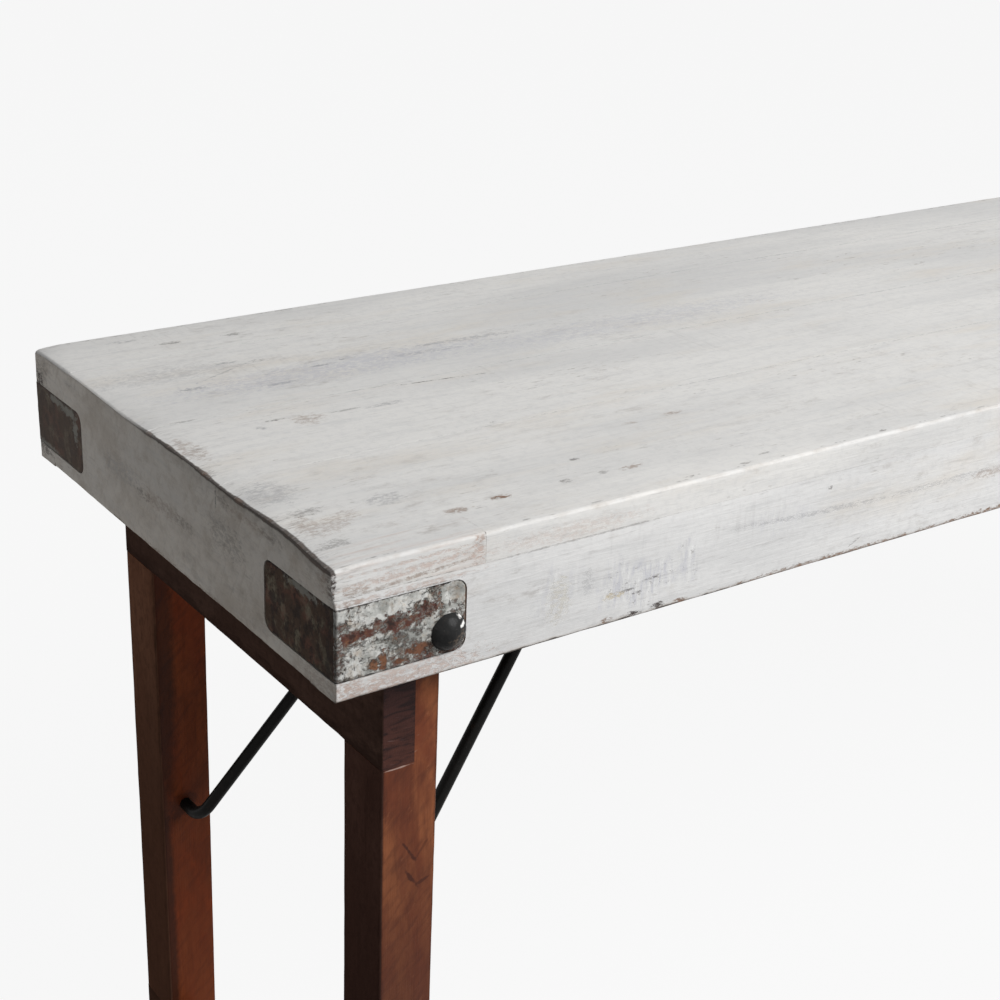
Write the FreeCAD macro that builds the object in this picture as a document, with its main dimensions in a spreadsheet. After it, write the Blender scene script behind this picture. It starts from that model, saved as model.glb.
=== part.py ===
"""Folding console table: a plank top on an apron frame, two folding leg frames and their rod braces.

The origin is on the floor under the middle of the top. X runs along the table's length, Y from front to
back, Z up. One corner of the table is modelled, front left, and the others are its mirror images.
"""

import FreeCAD, Part
import math
import os
import Sketcher

# Driving dimensions, in millimetres and degrees
SIZES = {
    # Overall
    "table_length": 1800,
    "table_depth": 450,
    "table_height": 760,
    # Top planks, and the shares in which their widths divide the depth between them, front to back
    "plank_thickness": 20,
    "front_plank_share": 146,
    "front_middle_plank_share": 106,
    "back_middle_plank_share": 132,
    "back_plank_share": 66,
    "plank_edge_round": 5,
    "plank_end_round": 2.5,
    # Repair strip let into the front edge at the left corner
    "patch_length": 102,
    "patch_depth": 26,
    # Apron frame
    "apron_height": 66,
    "apron_thickness": 30,
    "apron_edge_round": 2,
    # Corner straps, let in flush
    "strap_thickness": 3,
    "strap_height": 47,
    "strap_drop": 6,
    "strap_front_arm": 89,
    "strap_end_arm": 86,
    "strap_corner_round": 8,
    "strap_clearance": 0.4,
    # Pivot bolts with their washers and nuts
    "pivot_from_strap_end": 12,
    "pivot_from_strap_bottom": 14.4,
    "bolt_diameter": 10,
    "bolt_head_diameter": 25,
    "bolt_head_height": 8,
    "bolt_neck_length": 6,
    "bolt_tail": 4,
    "bolt_clearance": 0.25,
    "washer_diameter": 24,
    "washer_thickness": 2.5,
    "nut_across_corners": 19.6,
    "nut_thickness": 8.4,
    "thread_clearance": 0.05,
    # Fits of what turns
    "running_clearance": 0.1,
    "side_clearance": 0.3,
    # Legs
    "leg_width": 41.5,
    "leg_foot_width": 37.5,
    "leg_depth": 48,
    "leg_outset": 25.4,
    "leg_top_gap": 8.6,
    "leg_edge_round": 1.2,
    # Rails of the leg frames, lapped into the legs' outer faces
    "rail_thickness": 24,
    "rail_height": 90,
    "rail_washer_gap": 4,
    "stretcher_thickness": 24,
    "stretcher_height": 60,
    "stretcher_lift": 120,
    "rail_edge_round": 1.2,
    # Rod braces
    "rod_diameter": 10,
    "brace_angle": 52.1,
    "brace_pivot_inset": 20.5,
    "brace_pivot_drop": 318.4,
    "brace_leg_gap": 25.9,
    "crossbar_length": 123.4,
    "brace_bend_radius": 15,
    "brace_hole_depth": 30,
    "brace_end_gap": 1,
    # Keeper clips for the braces' crossbars
    "keeper_thickness": 2.5,
    "keeper_width": 60,
    "keeper_plate_length": 45,
    "keeper_jaw_length": 14,
    "keeper_jaw_slope": 17,
    "keeper_clearance": 0.3,
    "keeper_screw_spread": 36,
    "keeper_screw_from_end": 14,
    # Cross battens under the planks
    "batten_thickness": 18,
    "batten_margin": 14,
    "middle_batten_width": 64,
    "batten_end_gap": 0.5,
    # Countersunk wood screws
    "screw_diameter": 4,
    "screw_head_diameter": 8,
    "screw_head_height": 2.4,
    "screw_tip_length": 4,
    "screw_sink": 0.3,
    "screw_clearance": 0.1,
    "batten_screw_cover": 8,
    "keeper_screw_cover": 5.5,
    "rail_screw_cover": 6,
    "rail_screw_edge": 18,
}

# Places worked out from the driving dimensions, as expressions for the front left corner
LEFT = "(-Sizes.table_length / 2)"
FRONT = "(-Sizes.table_depth / 2)"
PLANK_UNDER = "(Sizes.table_height - Sizes.plank_thickness)"
APRON_BOTTOM = f"({PLANK_UNDER} - Sizes.apron_height)"
APRON_INNER_X = f"({LEFT} + Sizes.apron_thickness)"
APRON_INNER_Y = f"({FRONT} + Sizes.apron_thickness)"
STRAP_BOTTOM = f"({PLANK_UNDER} - Sizes.strap_drop - Sizes.strap_height)"
PIVOT_X = f"({LEFT} + Sizes.strap_front_arm - Sizes.pivot_from_strap_end)"
PIVOT_Z = f"({STRAP_BOTTOM} + Sizes.pivot_from_strap_bottom)"
LEG_OUTER_X = f"({PIVOT_X} - Sizes.leg_outset)"
LEG_FRONT_Y = f"({APRON_INNER_Y} + Sizes.washer_thickness + Sizes.side_clearance)"
LEG_BACK_Y = f"({LEG_FRONT_Y} + Sizes.leg_depth)"
LEG_TOP = f"({PLANK_UNDER} - Sizes.leg_top_gap)"
RAIL_TOP = f"({PIVOT_Z} - Sizes.washer_diameter / 2 - Sizes.rail_washer_gap)"
RAIL_BOTTOM = f"({RAIL_TOP} - Sizes.rail_height)"
INNER_WASHER_Y = f"({LEG_BACK_Y} + Sizes.side_clearance)"
NUT_Y = f"({INNER_WASHER_Y} + Sizes.washer_thickness)"
BOLT_END_Y = f"({NUT_Y} + Sizes.nut_thickness + Sizes.bolt_tail)"
BRACE_X = f"({LEG_OUTER_X} + Sizes.brace_pivot_inset)"
BRACE_Z = f"({PIVOT_Z} - Sizes.brace_pivot_drop)"
BRACE_TIP_Y = f"({LEG_BACK_Y} - Sizes.brace_hole_depth + Sizes.brace_end_gap)"
BRACE_FOOT_Y = f"({LEG_BACK_Y} + Sizes.brace_leg_gap)"
BATTEN_UNDER = f"({PLANK_UNDER} - Sizes.batten_thickness)"
BATTEN_START_Y = f"({APRON_INNER_Y} + Sizes.batten_end_gap)"
KEEPER_INNER_RADIUS = "(Sizes.rod_diameter / 2 + Sizes.keeper_clearance)"
KEEPER_OUTER_RADIUS = f"({KEEPER_INNER_RADIUS} + Sizes.keeper_thickness)"
CROSSBAR_Z = f"({BATTEN_UNDER} - {KEEPER_OUTER_RADIUS})"
CROSSBAR_X = f"({BRACE_X} + ({CROSSBAR_Z} - {BRACE_Z}) / tan(Sizes.brace_angle))"
KEEPER_END_X = f"({CROSSBAR_X} + Sizes.keeper_plate_length)"
KEEPER_SCREW_X = f"({KEEPER_END_X} - Sizes.keeper_screw_from_end)"
BATTEN_SCREW_X = f"({KEEPER_END_X} + Sizes.batten_margin)"
BATTEN_SCREW_Z = f"({BATTEN_UNDER} + Sizes.screw_sink)"
BATTEN_SCREW_LENGTH = f"(Sizes.table_height - Sizes.batten_screw_cover - {BATTEN_SCREW_Z})"
KEEPER_SCREW_Z = f"({BATTEN_UNDER} - Sizes.keeper_thickness)"
KEEPER_SCREW_LENGTH = f"({PLANK_UNDER} - Sizes.keeper_screw_cover - {KEEPER_SCREW_Z})"
HALF_NECK_HOLE = "(Sizes.bolt_diameter / 2 + Sizes.bolt_clearance)"
SCREW_HOLE_RADIUS = "(Sizes.screw_diameter / 2 + Sizes.screw_clearance)"
SCREW_HEAD_HOLE_RADIUS = "(Sizes.screw_head_diameter / 2 + Sizes.screw_clearance)"
TO_FIRST_JOINT = "Sizes.front_plank_share"
TO_SECOND_JOINT = f"{TO_FIRST_JOINT} + Sizes.front_middle_plank_share"
TO_THIRD_JOINT = f"{TO_SECOND_JOINT} + Sizes.back_middle_plank_share"
DEPTH_PER_SHARE = f"Sizes.table_depth / ({TO_THIRD_JOINT} + Sizes.back_plank_share)"
PLANK_Y = [
    FRONT,
    f"({FRONT} + ({TO_FIRST_JOINT}) * {DEPTH_PER_SHARE})",
    f"({FRONT} + ({TO_SECOND_JOINT}) * {DEPTH_PER_SHARE})",
    f"({FRONT} + ({TO_THIRD_JOINT}) * {DEPTH_PER_SHARE})",
    f"(-{FRONT})",
]
PLANK_LABELS = ["plank_front", "plank_front_middle", "plank_back_middle", "plank_back"]
SCREW_LINES = {"left": BATTEN_SCREW_X, "middle": "0", "right": f"(-{BATTEN_SCREW_X})"}
# How far a cutting tool runs past the face that it cuts through
PAST = 5
# How near an edge has to lie to a place to count as being there
NEAR = 0.01

X_AXIS = FreeCAD.Vector(1, 0, 0)
Y_AXIS = FreeCAD.Vector(0, 1, 0)
Z_AXIS = FreeCAD.Vector(0, 0, 1)
# Turns that point a cylinder's or cone's own Z axis along a table axis
AGAINST_X = FreeCAD.Rotation(Z_AXIS, -X_AXIS)
ALONG_Y = FreeCAD.Rotation(Z_AXIS, Y_AXIS)
AGAINST_Y = FreeCAD.Rotation(Z_AXIS, -Y_AXIS)
ALONG_Z = FreeCAD.Rotation()

doc = FreeCAD.newDocument("folding_console_table")
sheet = doc.addObject("Spreadsheet::Sheet", "Sizes")
for row, (alias, number) in enumerate(SIZES.items(), 1):
    sheet.set(f"A{row}", alias)
    sheet.set(f"B{row}", str(number))
    sheet.setAlias(f"B{row}", alias)
doc.recompute()


def value(expression):
    """The number that an expression gives with the sizes in the sheet."""
    return float(sheet.evalExpression(expression))


def bind(item, bindings):
    """Bind properties of an object to expressions."""
    for path, expression in bindings.items():
        item.setExpression(path, expression)


def place(item, corner, rotation=ALONG_Z):
    """Turn an object and bind its position to three expressions."""
    item.Placement = FreeCAD.Placement(FreeCAD.Vector(), rotation)
    bind(item, {f"Placement.Base.{axis}": text for axis, text in zip("xyz", corner)})


def body(label):
    """A new, empty body."""
    item = doc.addObject("PartDesign::Body", label)
    item.Label = label
    return item


def block(owner, name, low, high, kind="Additive"):
    """A box feature between two opposite corners."""
    feature = owner.newObject(f"PartDesign::{kind}Box", name)
    place(feature, low)
    sides = [f"{far} - {near}" for near, far in zip(low, high)]
    bind(feature, dict(zip(("Length", "Width", "Height"), sides)))
    return feature


def cut_block(owner, name, low, high):
    """A box that is cut out of a body."""
    return block(owner, name, low, high, "Subtractive")


def drill(owner, name, start, rotation, radius, depth):
    """A round hole that starts at a point and runs along the turned Z axis."""
    feature = owner.newObject("PartDesign::SubtractiveCylinder", name)
    place(feature, start, rotation)
    bind(feature, {"Radius": radius, "Height": depth})
    return feature


def screw_hole(owner, name, start, rotation, depth):
    """A hole that clears a screw's shank."""
    return drill(owner, name, start, rotation, SCREW_HOLE_RADIUS, depth)


def countersink(owner, name, start, rotation):
    """A cone that seats a screw's head, from the point of the head's top face."""
    feature = owner.newObject("PartDesign::SubtractiveCone", name)
    place(feature, start, rotation)
    bind(feature, {
        "Radius1": SCREW_HEAD_HOLE_RADIUS,
        "Radius2": SCREW_HOLE_RADIUS,
        "Height": "Sizes.screw_head_height",
    })
    return feature


def round_edges(owner, name, radius, wanted):
    """Round the edges of a body's newest feature for which wanted(edge) is true."""
    doc.recompute()
    base = owner.Tip
    names = [f"Edge{number}" for number, edge in enumerate(base.Shape.Edges, 1) if wanted(edge)]
    feature = owner.newObject("PartDesign::Fillet", name)
    feature.Base = (base, names)
    bind(feature, {"Radius": radius})
    return feature


def runs_along(edge, axis):
    """Whether an edge is a straight line along an axis."""
    if not isinstance(edge.Curve, Part.Line):
        return False
    return abs(abs(edge.Curve.Direction.dot(axis)) - 1) < NEAR


def middle(edge):
    """The point halfway along an edge."""
    return edge.valueAt((edge.FirstParameter + edge.LastParameter) / 2)


def is_at(coordinate, expression):
    """Whether a coordinate is where an expression says."""
    return abs(coordinate - value(expression)) < NEAR


def outline(owner, name, role, points):
    """A closed sketch of straight lines on one of a body's own planes, each corner bound to expressions."""
    plane = next(item for item in owner.Origin.OriginFeatures if item.Role == role)
    sketch = owner.newObject("Sketcher::SketchObject", name)
    sketch.AttachmentSupport = [(plane, "")]
    sketch.MapMode = "FlatFace"
    corners = [FreeCAD.Vector(value(across), value(up), 0) for across, up in points]
    count = len(corners)
    for number in range(count):
        sketch.addGeometry(Part.LineSegment(corners[number], corners[(number + 1) % count]), False)
    for number in range(count):
        sketch.addConstraint(Sketcher.Constraint("Coincident", number, 2, (number + 1) % count, 1))
    for number, point in enumerate(points):
        for kind, start, expression in zip(("DistanceX", "DistanceY"), corners[number], point):
            index = sketch.addConstraint(Sketcher.Constraint(kind, number, 1, start))
            sketch.renameConstraint(index, f"{kind}{number}")
            sketch.setExpression(f"Constraints.{kind}{number}", expression)
    return sketch


def mirrored(source, label, normal):
    """The mirror image of an object through the middle of the table."""
    item = doc.addObject("Part::Mirroring", label)
    item.Label = label
    item.Source = source
    item.Normal = normal
    return item


def compound(label, pieces):
    """Separate solids kept as one sub-part."""
    item = doc.addObject("Part::Compound", label)
    item.Label = label
    item.Links = pieces
    return item


def solid(kind, name, start, rotation, bindings):
    """A primitive solid, placed and sized by expressions."""
    item = doc.addObject(f"Part::{kind}", name)
    place(item, start, rotation)
    bind(item, bindings)
    return item


def fused(label, pieces):
    """Several solids joined into one."""
    item = doc.addObject("Part::MultiFuse", label)
    item.Label = label
    item.Shapes = pieces
    item.Refine = True
    return item


def difference(label, base, tool):
    """One solid less another."""
    item = doc.addObject("Part::Cut", label)
    item.Label = label
    item.Base = base
    item.Tool = tool
    item.Refine = True
    return item


def four_corners(label, front_left):
    """A fastener of the front left corner and its three mirror images, as one sub-part."""
    back_left = mirrored(front_left, f"{label}_back", Y_AXIS)
    left_pair = compound(f"{label}_left", [front_left, back_left])
    return compound(label, [left_pair, mirrored(left_pair, f"{label}_right", X_AXIS)])


def wood_screw(name, head, rotation, length):
    """A countersunk wood screw from the middle of its head's face, driven along the turned Z axis."""
    axis = rotation.multVec(Z_AXIS)

    def along(distance):
        return [f"{text} + ({distance}) * ({part})" for text, part in zip(head, axis)]

    cone = solid("Cone", f"{name}_head", head, rotation, {
        "Radius1": "Sizes.screw_head_diameter / 2",
        "Radius2": "Sizes.screw_diameter / 2",
        "Height": "Sizes.screw_head_height",
    })
    shank = solid("Cylinder", f"{name}_shank", along("Sizes.screw_head_height"), rotation, {
        "Radius": "Sizes.screw_diameter / 2",
        "Height": f"{length} - Sizes.screw_head_height - Sizes.screw_tip_length",
    })
    tip = solid("Cone", f"{name}_tip", along(f"{length} - Sizes.screw_tip_length"), rotation, {
        "Radius1": "Sizes.screw_diameter / 2",
        "Radius2": "0",
        "Height": "Sizes.screw_tip_length",
    })
    return fused(name, [cone, shank, tip])


def plank_screw_y(number):
    """The Y of a plank's screws: the middle of the stretch that the battens bear on."""
    near = f"max({PLANK_Y[number]}; {BATTEN_START_Y})"
    far = f"min({PLANK_Y[number + 1]}; -{BATTEN_START_Y})"
    return f"(({near} + {far}) / 2)"


def leg_face(height):
    """The X of the leg's tapered inner face at a height."""
    taper = "(Sizes.leg_width - Sizes.leg_foot_width)"
    return f"({LEG_OUTER_X} + Sizes.leg_foot_width + {taper} * {height} / {LEG_TOP})"


def lap_screw_places():
    """The Y and Z of the screws of one leg's two lap joints."""
    centre = f"(({LEG_FRONT_Y} + {LEG_BACK_Y}) / 2)"
    stretcher_top = "(Sizes.stretcher_lift + Sizes.stretcher_height)"
    heights = [
        f"({RAIL_TOP} - Sizes.rail_screw_edge)",
        f"({RAIL_BOTTOM} + Sizes.rail_screw_edge)",
        f"({stretcher_top} - Sizes.rail_screw_edge)",
        "(Sizes.stretcher_lift + Sizes.rail_screw_edge)",
    ]
    return [(centre, height) for height in heights]


def lap_screw_head(height):
    """The X of a lap screw's head face, sunk into the leg's inner face."""
    return f"({leg_face(height)} - Sizes.screw_sink)"


def lap_screw_length(height):
    """The length of a lap screw, which stops short of the rail's outer face."""
    return f"({lap_screw_head(height)} - {LEG_OUTER_X} - Sizes.rail_screw_cover)"


def planks():
    """The four top planks, the front one notched for its repair strip, with holes for the batten screws."""
    made = []
    for number, label in enumerate(PLANK_LABELS):
        plank = body(label)
        near, far = PLANK_Y[number], PLANK_Y[number + 1]
        block(plank, f"{label}_board", (LEFT, near, PLANK_UNDER), (f"(-{LEFT})", far, "Sizes.table_height"))
        if number == 0:
            low = (f"({LEFT} - {PAST})", f"({FRONT} - {PAST})", f"({PLANK_UNDER} - {PAST})")
            high = (f"({LEFT} + Sizes.patch_length)", f"({FRONT} + Sizes.patch_depth)",
                    f"(Sizes.table_height + {PAST})")
            cut_block(plank, "patch_notch", low, high)
        outer_y = {0: FRONT, len(PLANK_LABELS) - 1: f"(-{FRONT})"}.get(number)
        if outer_y:
            round_edges(plank, f"{label}_long_edge", "Sizes.plank_edge_round", lambda edge: (
                runs_along(edge, X_AXIS)
                and is_at(middle(edge).z, "Sizes.table_height")
                and is_at(middle(edge).y, outer_y)))
        round_edges(plank, f"{label}_end_edges", "Sizes.plank_end_round", lambda edge: (
            is_at(middle(edge).z, "Sizes.table_height")
            and runs_along(edge, Y_AXIS)
            and is_at(abs(middle(edge).x), f"(-{LEFT})")))
        for side, line in SCREW_LINES.items():
            start = (line, plank_screw_y(number), f"({PLANK_UNDER} - {PAST})")
            depth = f"Sizes.plank_thickness - Sizes.batten_screw_cover + Sizes.screw_sink + {PAST}"
            screw_hole(plank, f"{label}_pilot_{side}", start, ALONG_Z, depth)
        made.append(plank)
    return made


def edge_patch():
    """The repair strip in the front edge at the left corner."""
    patch = body("edge_patch")
    high = (f"({LEFT} + Sizes.patch_length)", f"({FRONT} + Sizes.patch_depth)", "Sizes.table_height")
    block(patch, "patch_strip", (LEFT, FRONT, PLANK_UNDER), high)
    round_edges(patch, "patch_long_edge", "Sizes.plank_edge_round", lambda edge: (
        runs_along(edge, X_AXIS)
        and is_at(middle(edge).z, "Sizes.table_height")
        and is_at(middle(edge).y, FRONT)))
    round_edges(patch, "patch_end_edge", "Sizes.plank_end_round", lambda edge: (
        runs_along(edge, Y_AXIS)
        and is_at(middle(edge).z, "Sizes.table_height")
        and is_at(middle(edge).x, LEFT)))
    return patch


def strap_seat(owner, name, low, high, rounded_edge):
    """A recess for a strap's arm, its free end rounded to the strap's corners."""
    cut_block(owner, name, low, high)
    round_edges(owner, f"{name}_corners", "Sizes.strap_corner_round + Sizes.strap_clearance", rounded_edge)


def long_apron():
    """The front apron: full length, recessed for a strap and bored for a pivot bolt near each end."""
    apron = body("apron_front")
    block(apron, "apron_front_board", (LEFT, FRONT, APRON_BOTTOM), (f"(-{LEFT})", APRON_INNER_Y, PLANK_UNDER))
    round_edges(apron, "apron_front_bottom_edge", "Sizes.apron_edge_round", lambda edge: (
        runs_along(edge, X_AXIS)
        and is_at(middle(edge).z, APRON_BOTTOM)
        and is_at(middle(edge).y, FRONT)))
    bottom = f"({STRAP_BOTTOM} - Sizes.strap_clearance)"
    top = f"({PLANK_UNDER} - Sizes.strap_drop + Sizes.strap_clearance)"
    arm_end = f"({LEFT} + Sizes.strap_front_arm + Sizes.strap_clearance)"
    face = f"({FRONT} + Sizes.strap_thickness)"
    neck_end = f"({FRONT} + Sizes.bolt_neck_length + Sizes.bolt_clearance)"
    for side, sign in (("left", 1), ("right", -1)):
        spans = {
            "arm": (f"({LEFT} - {PAST})", arm_end),
            "end": (f"({LEFT} - {PAST})", f"({LEFT} + Sizes.strap_thickness)"),
            "neck": (f"({PIVOT_X} - {HALF_NECK_HOLE})", f"({PIVOT_X} + {HALF_NECK_HOLE})"),
        }
        if sign < 0:
            spans = {key: (f"(-{far})", f"(-{near})") for key, (near, far) in spans.items()}
        near, far = spans["arm"]
        strap_seat(apron, f"seat_front_{side}", (near, f"({FRONT} - {PAST})", bottom), (far, face, top),
                   lambda edge: (runs_along(edge, Y_AXIS)
                                 and is_at(abs(middle(edge).x), f"abs({arm_end})")))
        near, far = spans["end"]
        cut_block(apron, f"seat_end_{side}", (near, f"({FRONT} - {PAST})", bottom),
                  (far, f"({APRON_INNER_Y} + {PAST})", top))
        near, far = spans["neck"]
        cut_block(apron, f"neck_hole_{side}",
                  (near, f"({FRONT} - {PAST})", f"({PIVOT_Z} - {HALF_NECK_HOLE})"),
                  (far, neck_end, f"({PIVOT_Z} + {HALF_NECK_HOLE})"))
        start = (f"({sign} * {PIVOT_X})", f"({FRONT} - {PAST})", PIVOT_Z)
        drill(apron, f"bolt_hole_{side}", start, ALONG_Y, HALF_NECK_HOLE,
              f"Sizes.apron_thickness + 2 * {PAST}")
    return [apron, mirrored(apron, "apron_back", Y_AXIS)]


def end_apron():
    """The left end apron, between the long aprons, recessed for the end arms of two straps."""
    apron = body("apron_left")
    block(apron, "apron_left_board", (LEFT, APRON_INNER_Y, APRON_BOTTOM),
          (APRON_INNER_X, f"(-{APRON_INNER_Y})", PLANK_UNDER))
    round_edges(apron, "apron_left_bottom_edge", "Sizes.apron_edge_round", lambda edge: (
        runs_along(edge, Y_AXIS)
        and is_at(middle(edge).z, APRON_BOTTOM)
        and is_at(middle(edge).x, LEFT)))
    bottom = f"({STRAP_BOTTOM} - Sizes.strap_clearance)"
    top = f"({PLANK_UNDER} - Sizes.strap_drop + Sizes.strap_clearance)"
    arm_end = f"({FRONT} + Sizes.strap_end_arm + Sizes.strap_clearance)"
    spans = {
        "front": (f"({APRON_INNER_Y} - {PAST})", arm_end),
        "back": (f"(-{arm_end})", f"(-{APRON_INNER_Y} + {PAST})"),
    }
    for side, (near, far) in spans.items():
        strap_seat(apron, f"seat_{side}", (f"({LEFT} - {PAST})", near, bottom),
                   (f"({LEFT} + Sizes.strap_thickness)", far, top),
                   lambda edge: (runs_along(edge, X_AXIS)
                                 and is_at(abs(middle(edge).y), f"abs({arm_end})")))
    return [apron, mirrored(apron, "apron_right", X_AXIS)]


def straps():
    """The corner straps: flat iron bent round the corner, with a square hole for the bolt's neck."""
    strap = body("corner_strap_front_left")
    top = f"({PLANK_UNDER} - Sizes.strap_drop)"
    block(strap, "front_arm", (LEFT, FRONT, STRAP_BOTTOM),
          (f"({LEFT} + Sizes.strap_front_arm)", f"({FRONT} + Sizes.strap_thickness)", top))
    block(strap, "end_arm", (LEFT, FRONT, STRAP_BOTTOM),
          (f"({LEFT} + Sizes.strap_thickness)", f"({FRONT} + Sizes.strap_end_arm)", top))
    round_edges(strap, "bend", "Sizes.apron_edge_round", lambda edge: (
        runs_along(edge, Z_AXIS)
        and is_at(middle(edge).x, LEFT)
        and is_at(middle(edge).y, FRONT)))
    round_edges(strap, "free_corners", "Sizes.strap_corner_round", lambda edge: (
        (runs_along(edge, Y_AXIS) and is_at(middle(edge).x, f"({LEFT} + Sizes.strap_front_arm)"))
        or (runs_along(edge, X_AXIS) and is_at(middle(edge).y, f"({FRONT} + Sizes.strap_end_arm)"))))
    cut_block(strap, "neck_hole",
              (f"({PIVOT_X} - {HALF_NECK_HOLE})", f"({FRONT} - {PAST})", f"({PIVOT_Z} - {HALF_NECK_HOLE})"),
              (f"({PIVOT_X} + {HALF_NECK_HOLE})", f"({FRONT} + Sizes.strap_thickness + {PAST})",
               f"({PIVOT_Z} + {HALF_NECK_HOLE})"))
    back = mirrored(strap, "corner_strap_back_left", Y_AXIS)
    return [strap, back, mirrored(strap, "corner_strap_front_right", X_AXIS),
            mirrored(back, "corner_strap_back_right", X_AXIS)]


def pivot_bolts():
    """Domed bolts with square necks, heads on the straps' faces."""
    dome_radius = "((pow(Sizes.bolt_head_diameter / 2; 2) + pow(Sizes.bolt_head_height; 2))" \
                  " / (2 * Sizes.bolt_head_height))"
    dome_centre = (PIVOT_X, f"({FRONT} + {dome_radius} - Sizes.bolt_head_height)", PIVOT_Z)
    head = solid("Sphere", "bolt_head", dome_centre, AGAINST_Y, {
        "Radius": dome_radius,
        "Angle1": f"asin(({dome_radius} - Sizes.bolt_head_height) / {dome_radius})",
    })
    half_neck = "(Sizes.bolt_diameter / 2)"
    neck_corner = (f"({PIVOT_X} - {half_neck})", FRONT, f"({PIVOT_Z} - {half_neck})")
    neck = solid("Box", "bolt_neck", neck_corner, ALONG_Z, {
        "Length": "Sizes.bolt_diameter",
        "Width": "Sizes.bolt_neck_length",
        "Height": "Sizes.bolt_diameter",
    })
    shank = solid("Cylinder", "bolt_shank", (PIVOT_X, FRONT, PIVOT_Z), ALONG_Y, {
        "Radius": "Sizes.bolt_diameter / 2",
        "Height": f"{BOLT_END_Y} - {FRONT}",
    })
    return four_corners("pivot_bolts", fused("pivot_bolt", [head, neck, shank]))


def washer(name, start_y):
    """A washer on the pivot axis, from a Y towards the middle of the table."""
    disc = solid("Cylinder", f"{name}_disc", (PIVOT_X, start_y, PIVOT_Z), ALONG_Y, {
        "Radius": "Sizes.washer_diameter / 2",
        "Height": "Sizes.washer_thickness",
    })
    hole = solid("Cylinder", f"{name}_hole", (PIVOT_X, f"({start_y} - {PAST})", PIVOT_Z), ALONG_Y, {
        "Radius": "Sizes.bolt_diameter / 2 + Sizes.bolt_clearance",
        "Height": f"Sizes.washer_thickness + 2 * {PAST}",
    })
    return difference(name, disc, hole)


def pivot_nuts():
    """Hexagon nuts on the inner ends of the pivot bolts."""
    hexagon = solid("Prism", "nut_hexagon", (PIVOT_X, NUT_Y, PIVOT_Z), ALONG_Y, {
        "Circumradius": "Sizes.nut_across_corners / 2",
        "Height": "Sizes.nut_thickness",
    })
    thread = solid("Cylinder", "nut_thread", (PIVOT_X, f"({NUT_Y} - {PAST})", PIVOT_Z), ALONG_Y, {
        "Radius": "Sizes.bolt_diameter / 2 + Sizes.thread_clearance",
        "Height": f"Sizes.nut_thickness + 2 * {PAST}",
    })
    return four_corners("pivot_nuts", difference("pivot_nut", hexagon, thread))


def legs():
    """The front left leg, with its laps, pivot hole, brace hole and screw holes, and its mirror images."""
    leg = body("leg_front_left")
    profile = outline(leg, "leg_outline", "XZ_Plane", [
        (LEG_OUTER_X, "0"),
        (f"({LEG_OUTER_X} + Sizes.leg_foot_width)", "0"),
        (f"({LEG_OUTER_X} + Sizes.leg_width)", LEG_TOP),
        (LEG_OUTER_X, LEG_TOP),
    ])
    bind(profile, {"AttachmentOffset.Base.z": f"-{LEG_FRONT_Y}"})
    post = leg.newObject("PartDesign::Pad", "leg_post")
    post.Profile = profile
    post.Reversed = True
    bind(post, {"Length": "Sizes.leg_depth"})
    leg.Tip = post
    round_edges(leg, "leg_long_edges", "Sizes.leg_edge_round",
                lambda edge: edge.Length > value(LEG_TOP) - NEAR)
    laps = {
        "rail": (RAIL_BOTTOM, RAIL_TOP, "Sizes.rail_thickness"),
        "stretcher": ("Sizes.stretcher_lift", "(Sizes.stretcher_lift + Sizes.stretcher_height)",
                      "Sizes.stretcher_thickness"),
    }
    for name, (bottom, top, thickness) in laps.items():
        cut_block(leg, f"{name}_lap", (f"({LEG_OUTER_X} - {PAST})", f"({LEG_FRONT_Y} - {PAST})", bottom),
                  (f"({LEG_OUTER_X} + {thickness})", f"({LEG_BACK_Y} + {PAST})", top))
    drill(leg, "pivot_hole", (PIVOT_X, f"({LEG_FRONT_Y} - {PAST})", PIVOT_Z), ALONG_Y,
          "Sizes.bolt_diameter / 2 + Sizes.running_clearance", f"Sizes.leg_depth + 2 * {PAST}")
    drill(leg, "brace_hole", (BRACE_X, f"({LEG_BACK_Y} + {PAST})", BRACE_Z), AGAINST_Y,
          "Sizes.rod_diameter / 2 + Sizes.running_clearance", f"Sizes.brace_hole_depth + {PAST}")
    for number, (across, height) in enumerate(lap_screw_places()):
        face = lap_screw_head(height)
        screw_hole(leg, f"lap_hole_{number}", (f"({face} + {PAST})", across, height), AGAINST_X,
                   f"Sizes.leg_width + {PAST}")
        drill(leg, f"lap_sink_{number}", (f"({face} + {PAST})", across, height), AGAINST_X,
              SCREW_HEAD_HOLE_RADIUS, str(PAST))
        countersink(leg, f"lap_seat_{number}", (face, across, height), AGAINST_X)
    back = mirrored(leg, "leg_back_left", Y_AXIS)
    return [leg, back, mirrored(leg, "leg_front_right", X_AXIS), mirrored(back, "leg_back_right", X_AXIS)]


def rail(label, bottom, top, thickness, screws):
    """A rail between the outer faces of two legs, lapped into both, and its mirror image."""
    board = body(f"{label}_left")
    block(board, f"{label}_board", (LEG_OUTER_X, LEG_FRONT_Y, bottom),
          (f"({LEG_OUTER_X} + {thickness})", f"(-{LEG_FRONT_Y})", top))
    round_edges(board, f"{label}_long_edges", "Sizes.rail_edge_round", lambda edge: runs_along(edge, Y_AXIS))
    for number, (across, height) in enumerate(screws):
        start = f"({lap_screw_head(height)} + {PAST})"
        depth = f"{lap_screw_length(height)} + Sizes.screw_sink + {PAST}"
        for side, y in (("front", across), ("back", f"(-{across})")):
            screw_hole(board, f"{label}_pilot_{side}_{number}", (start, y, height), AGAINST_X, depth)
    return [board, mirrored(board, f"{label}_right", X_AXIS)]


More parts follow.
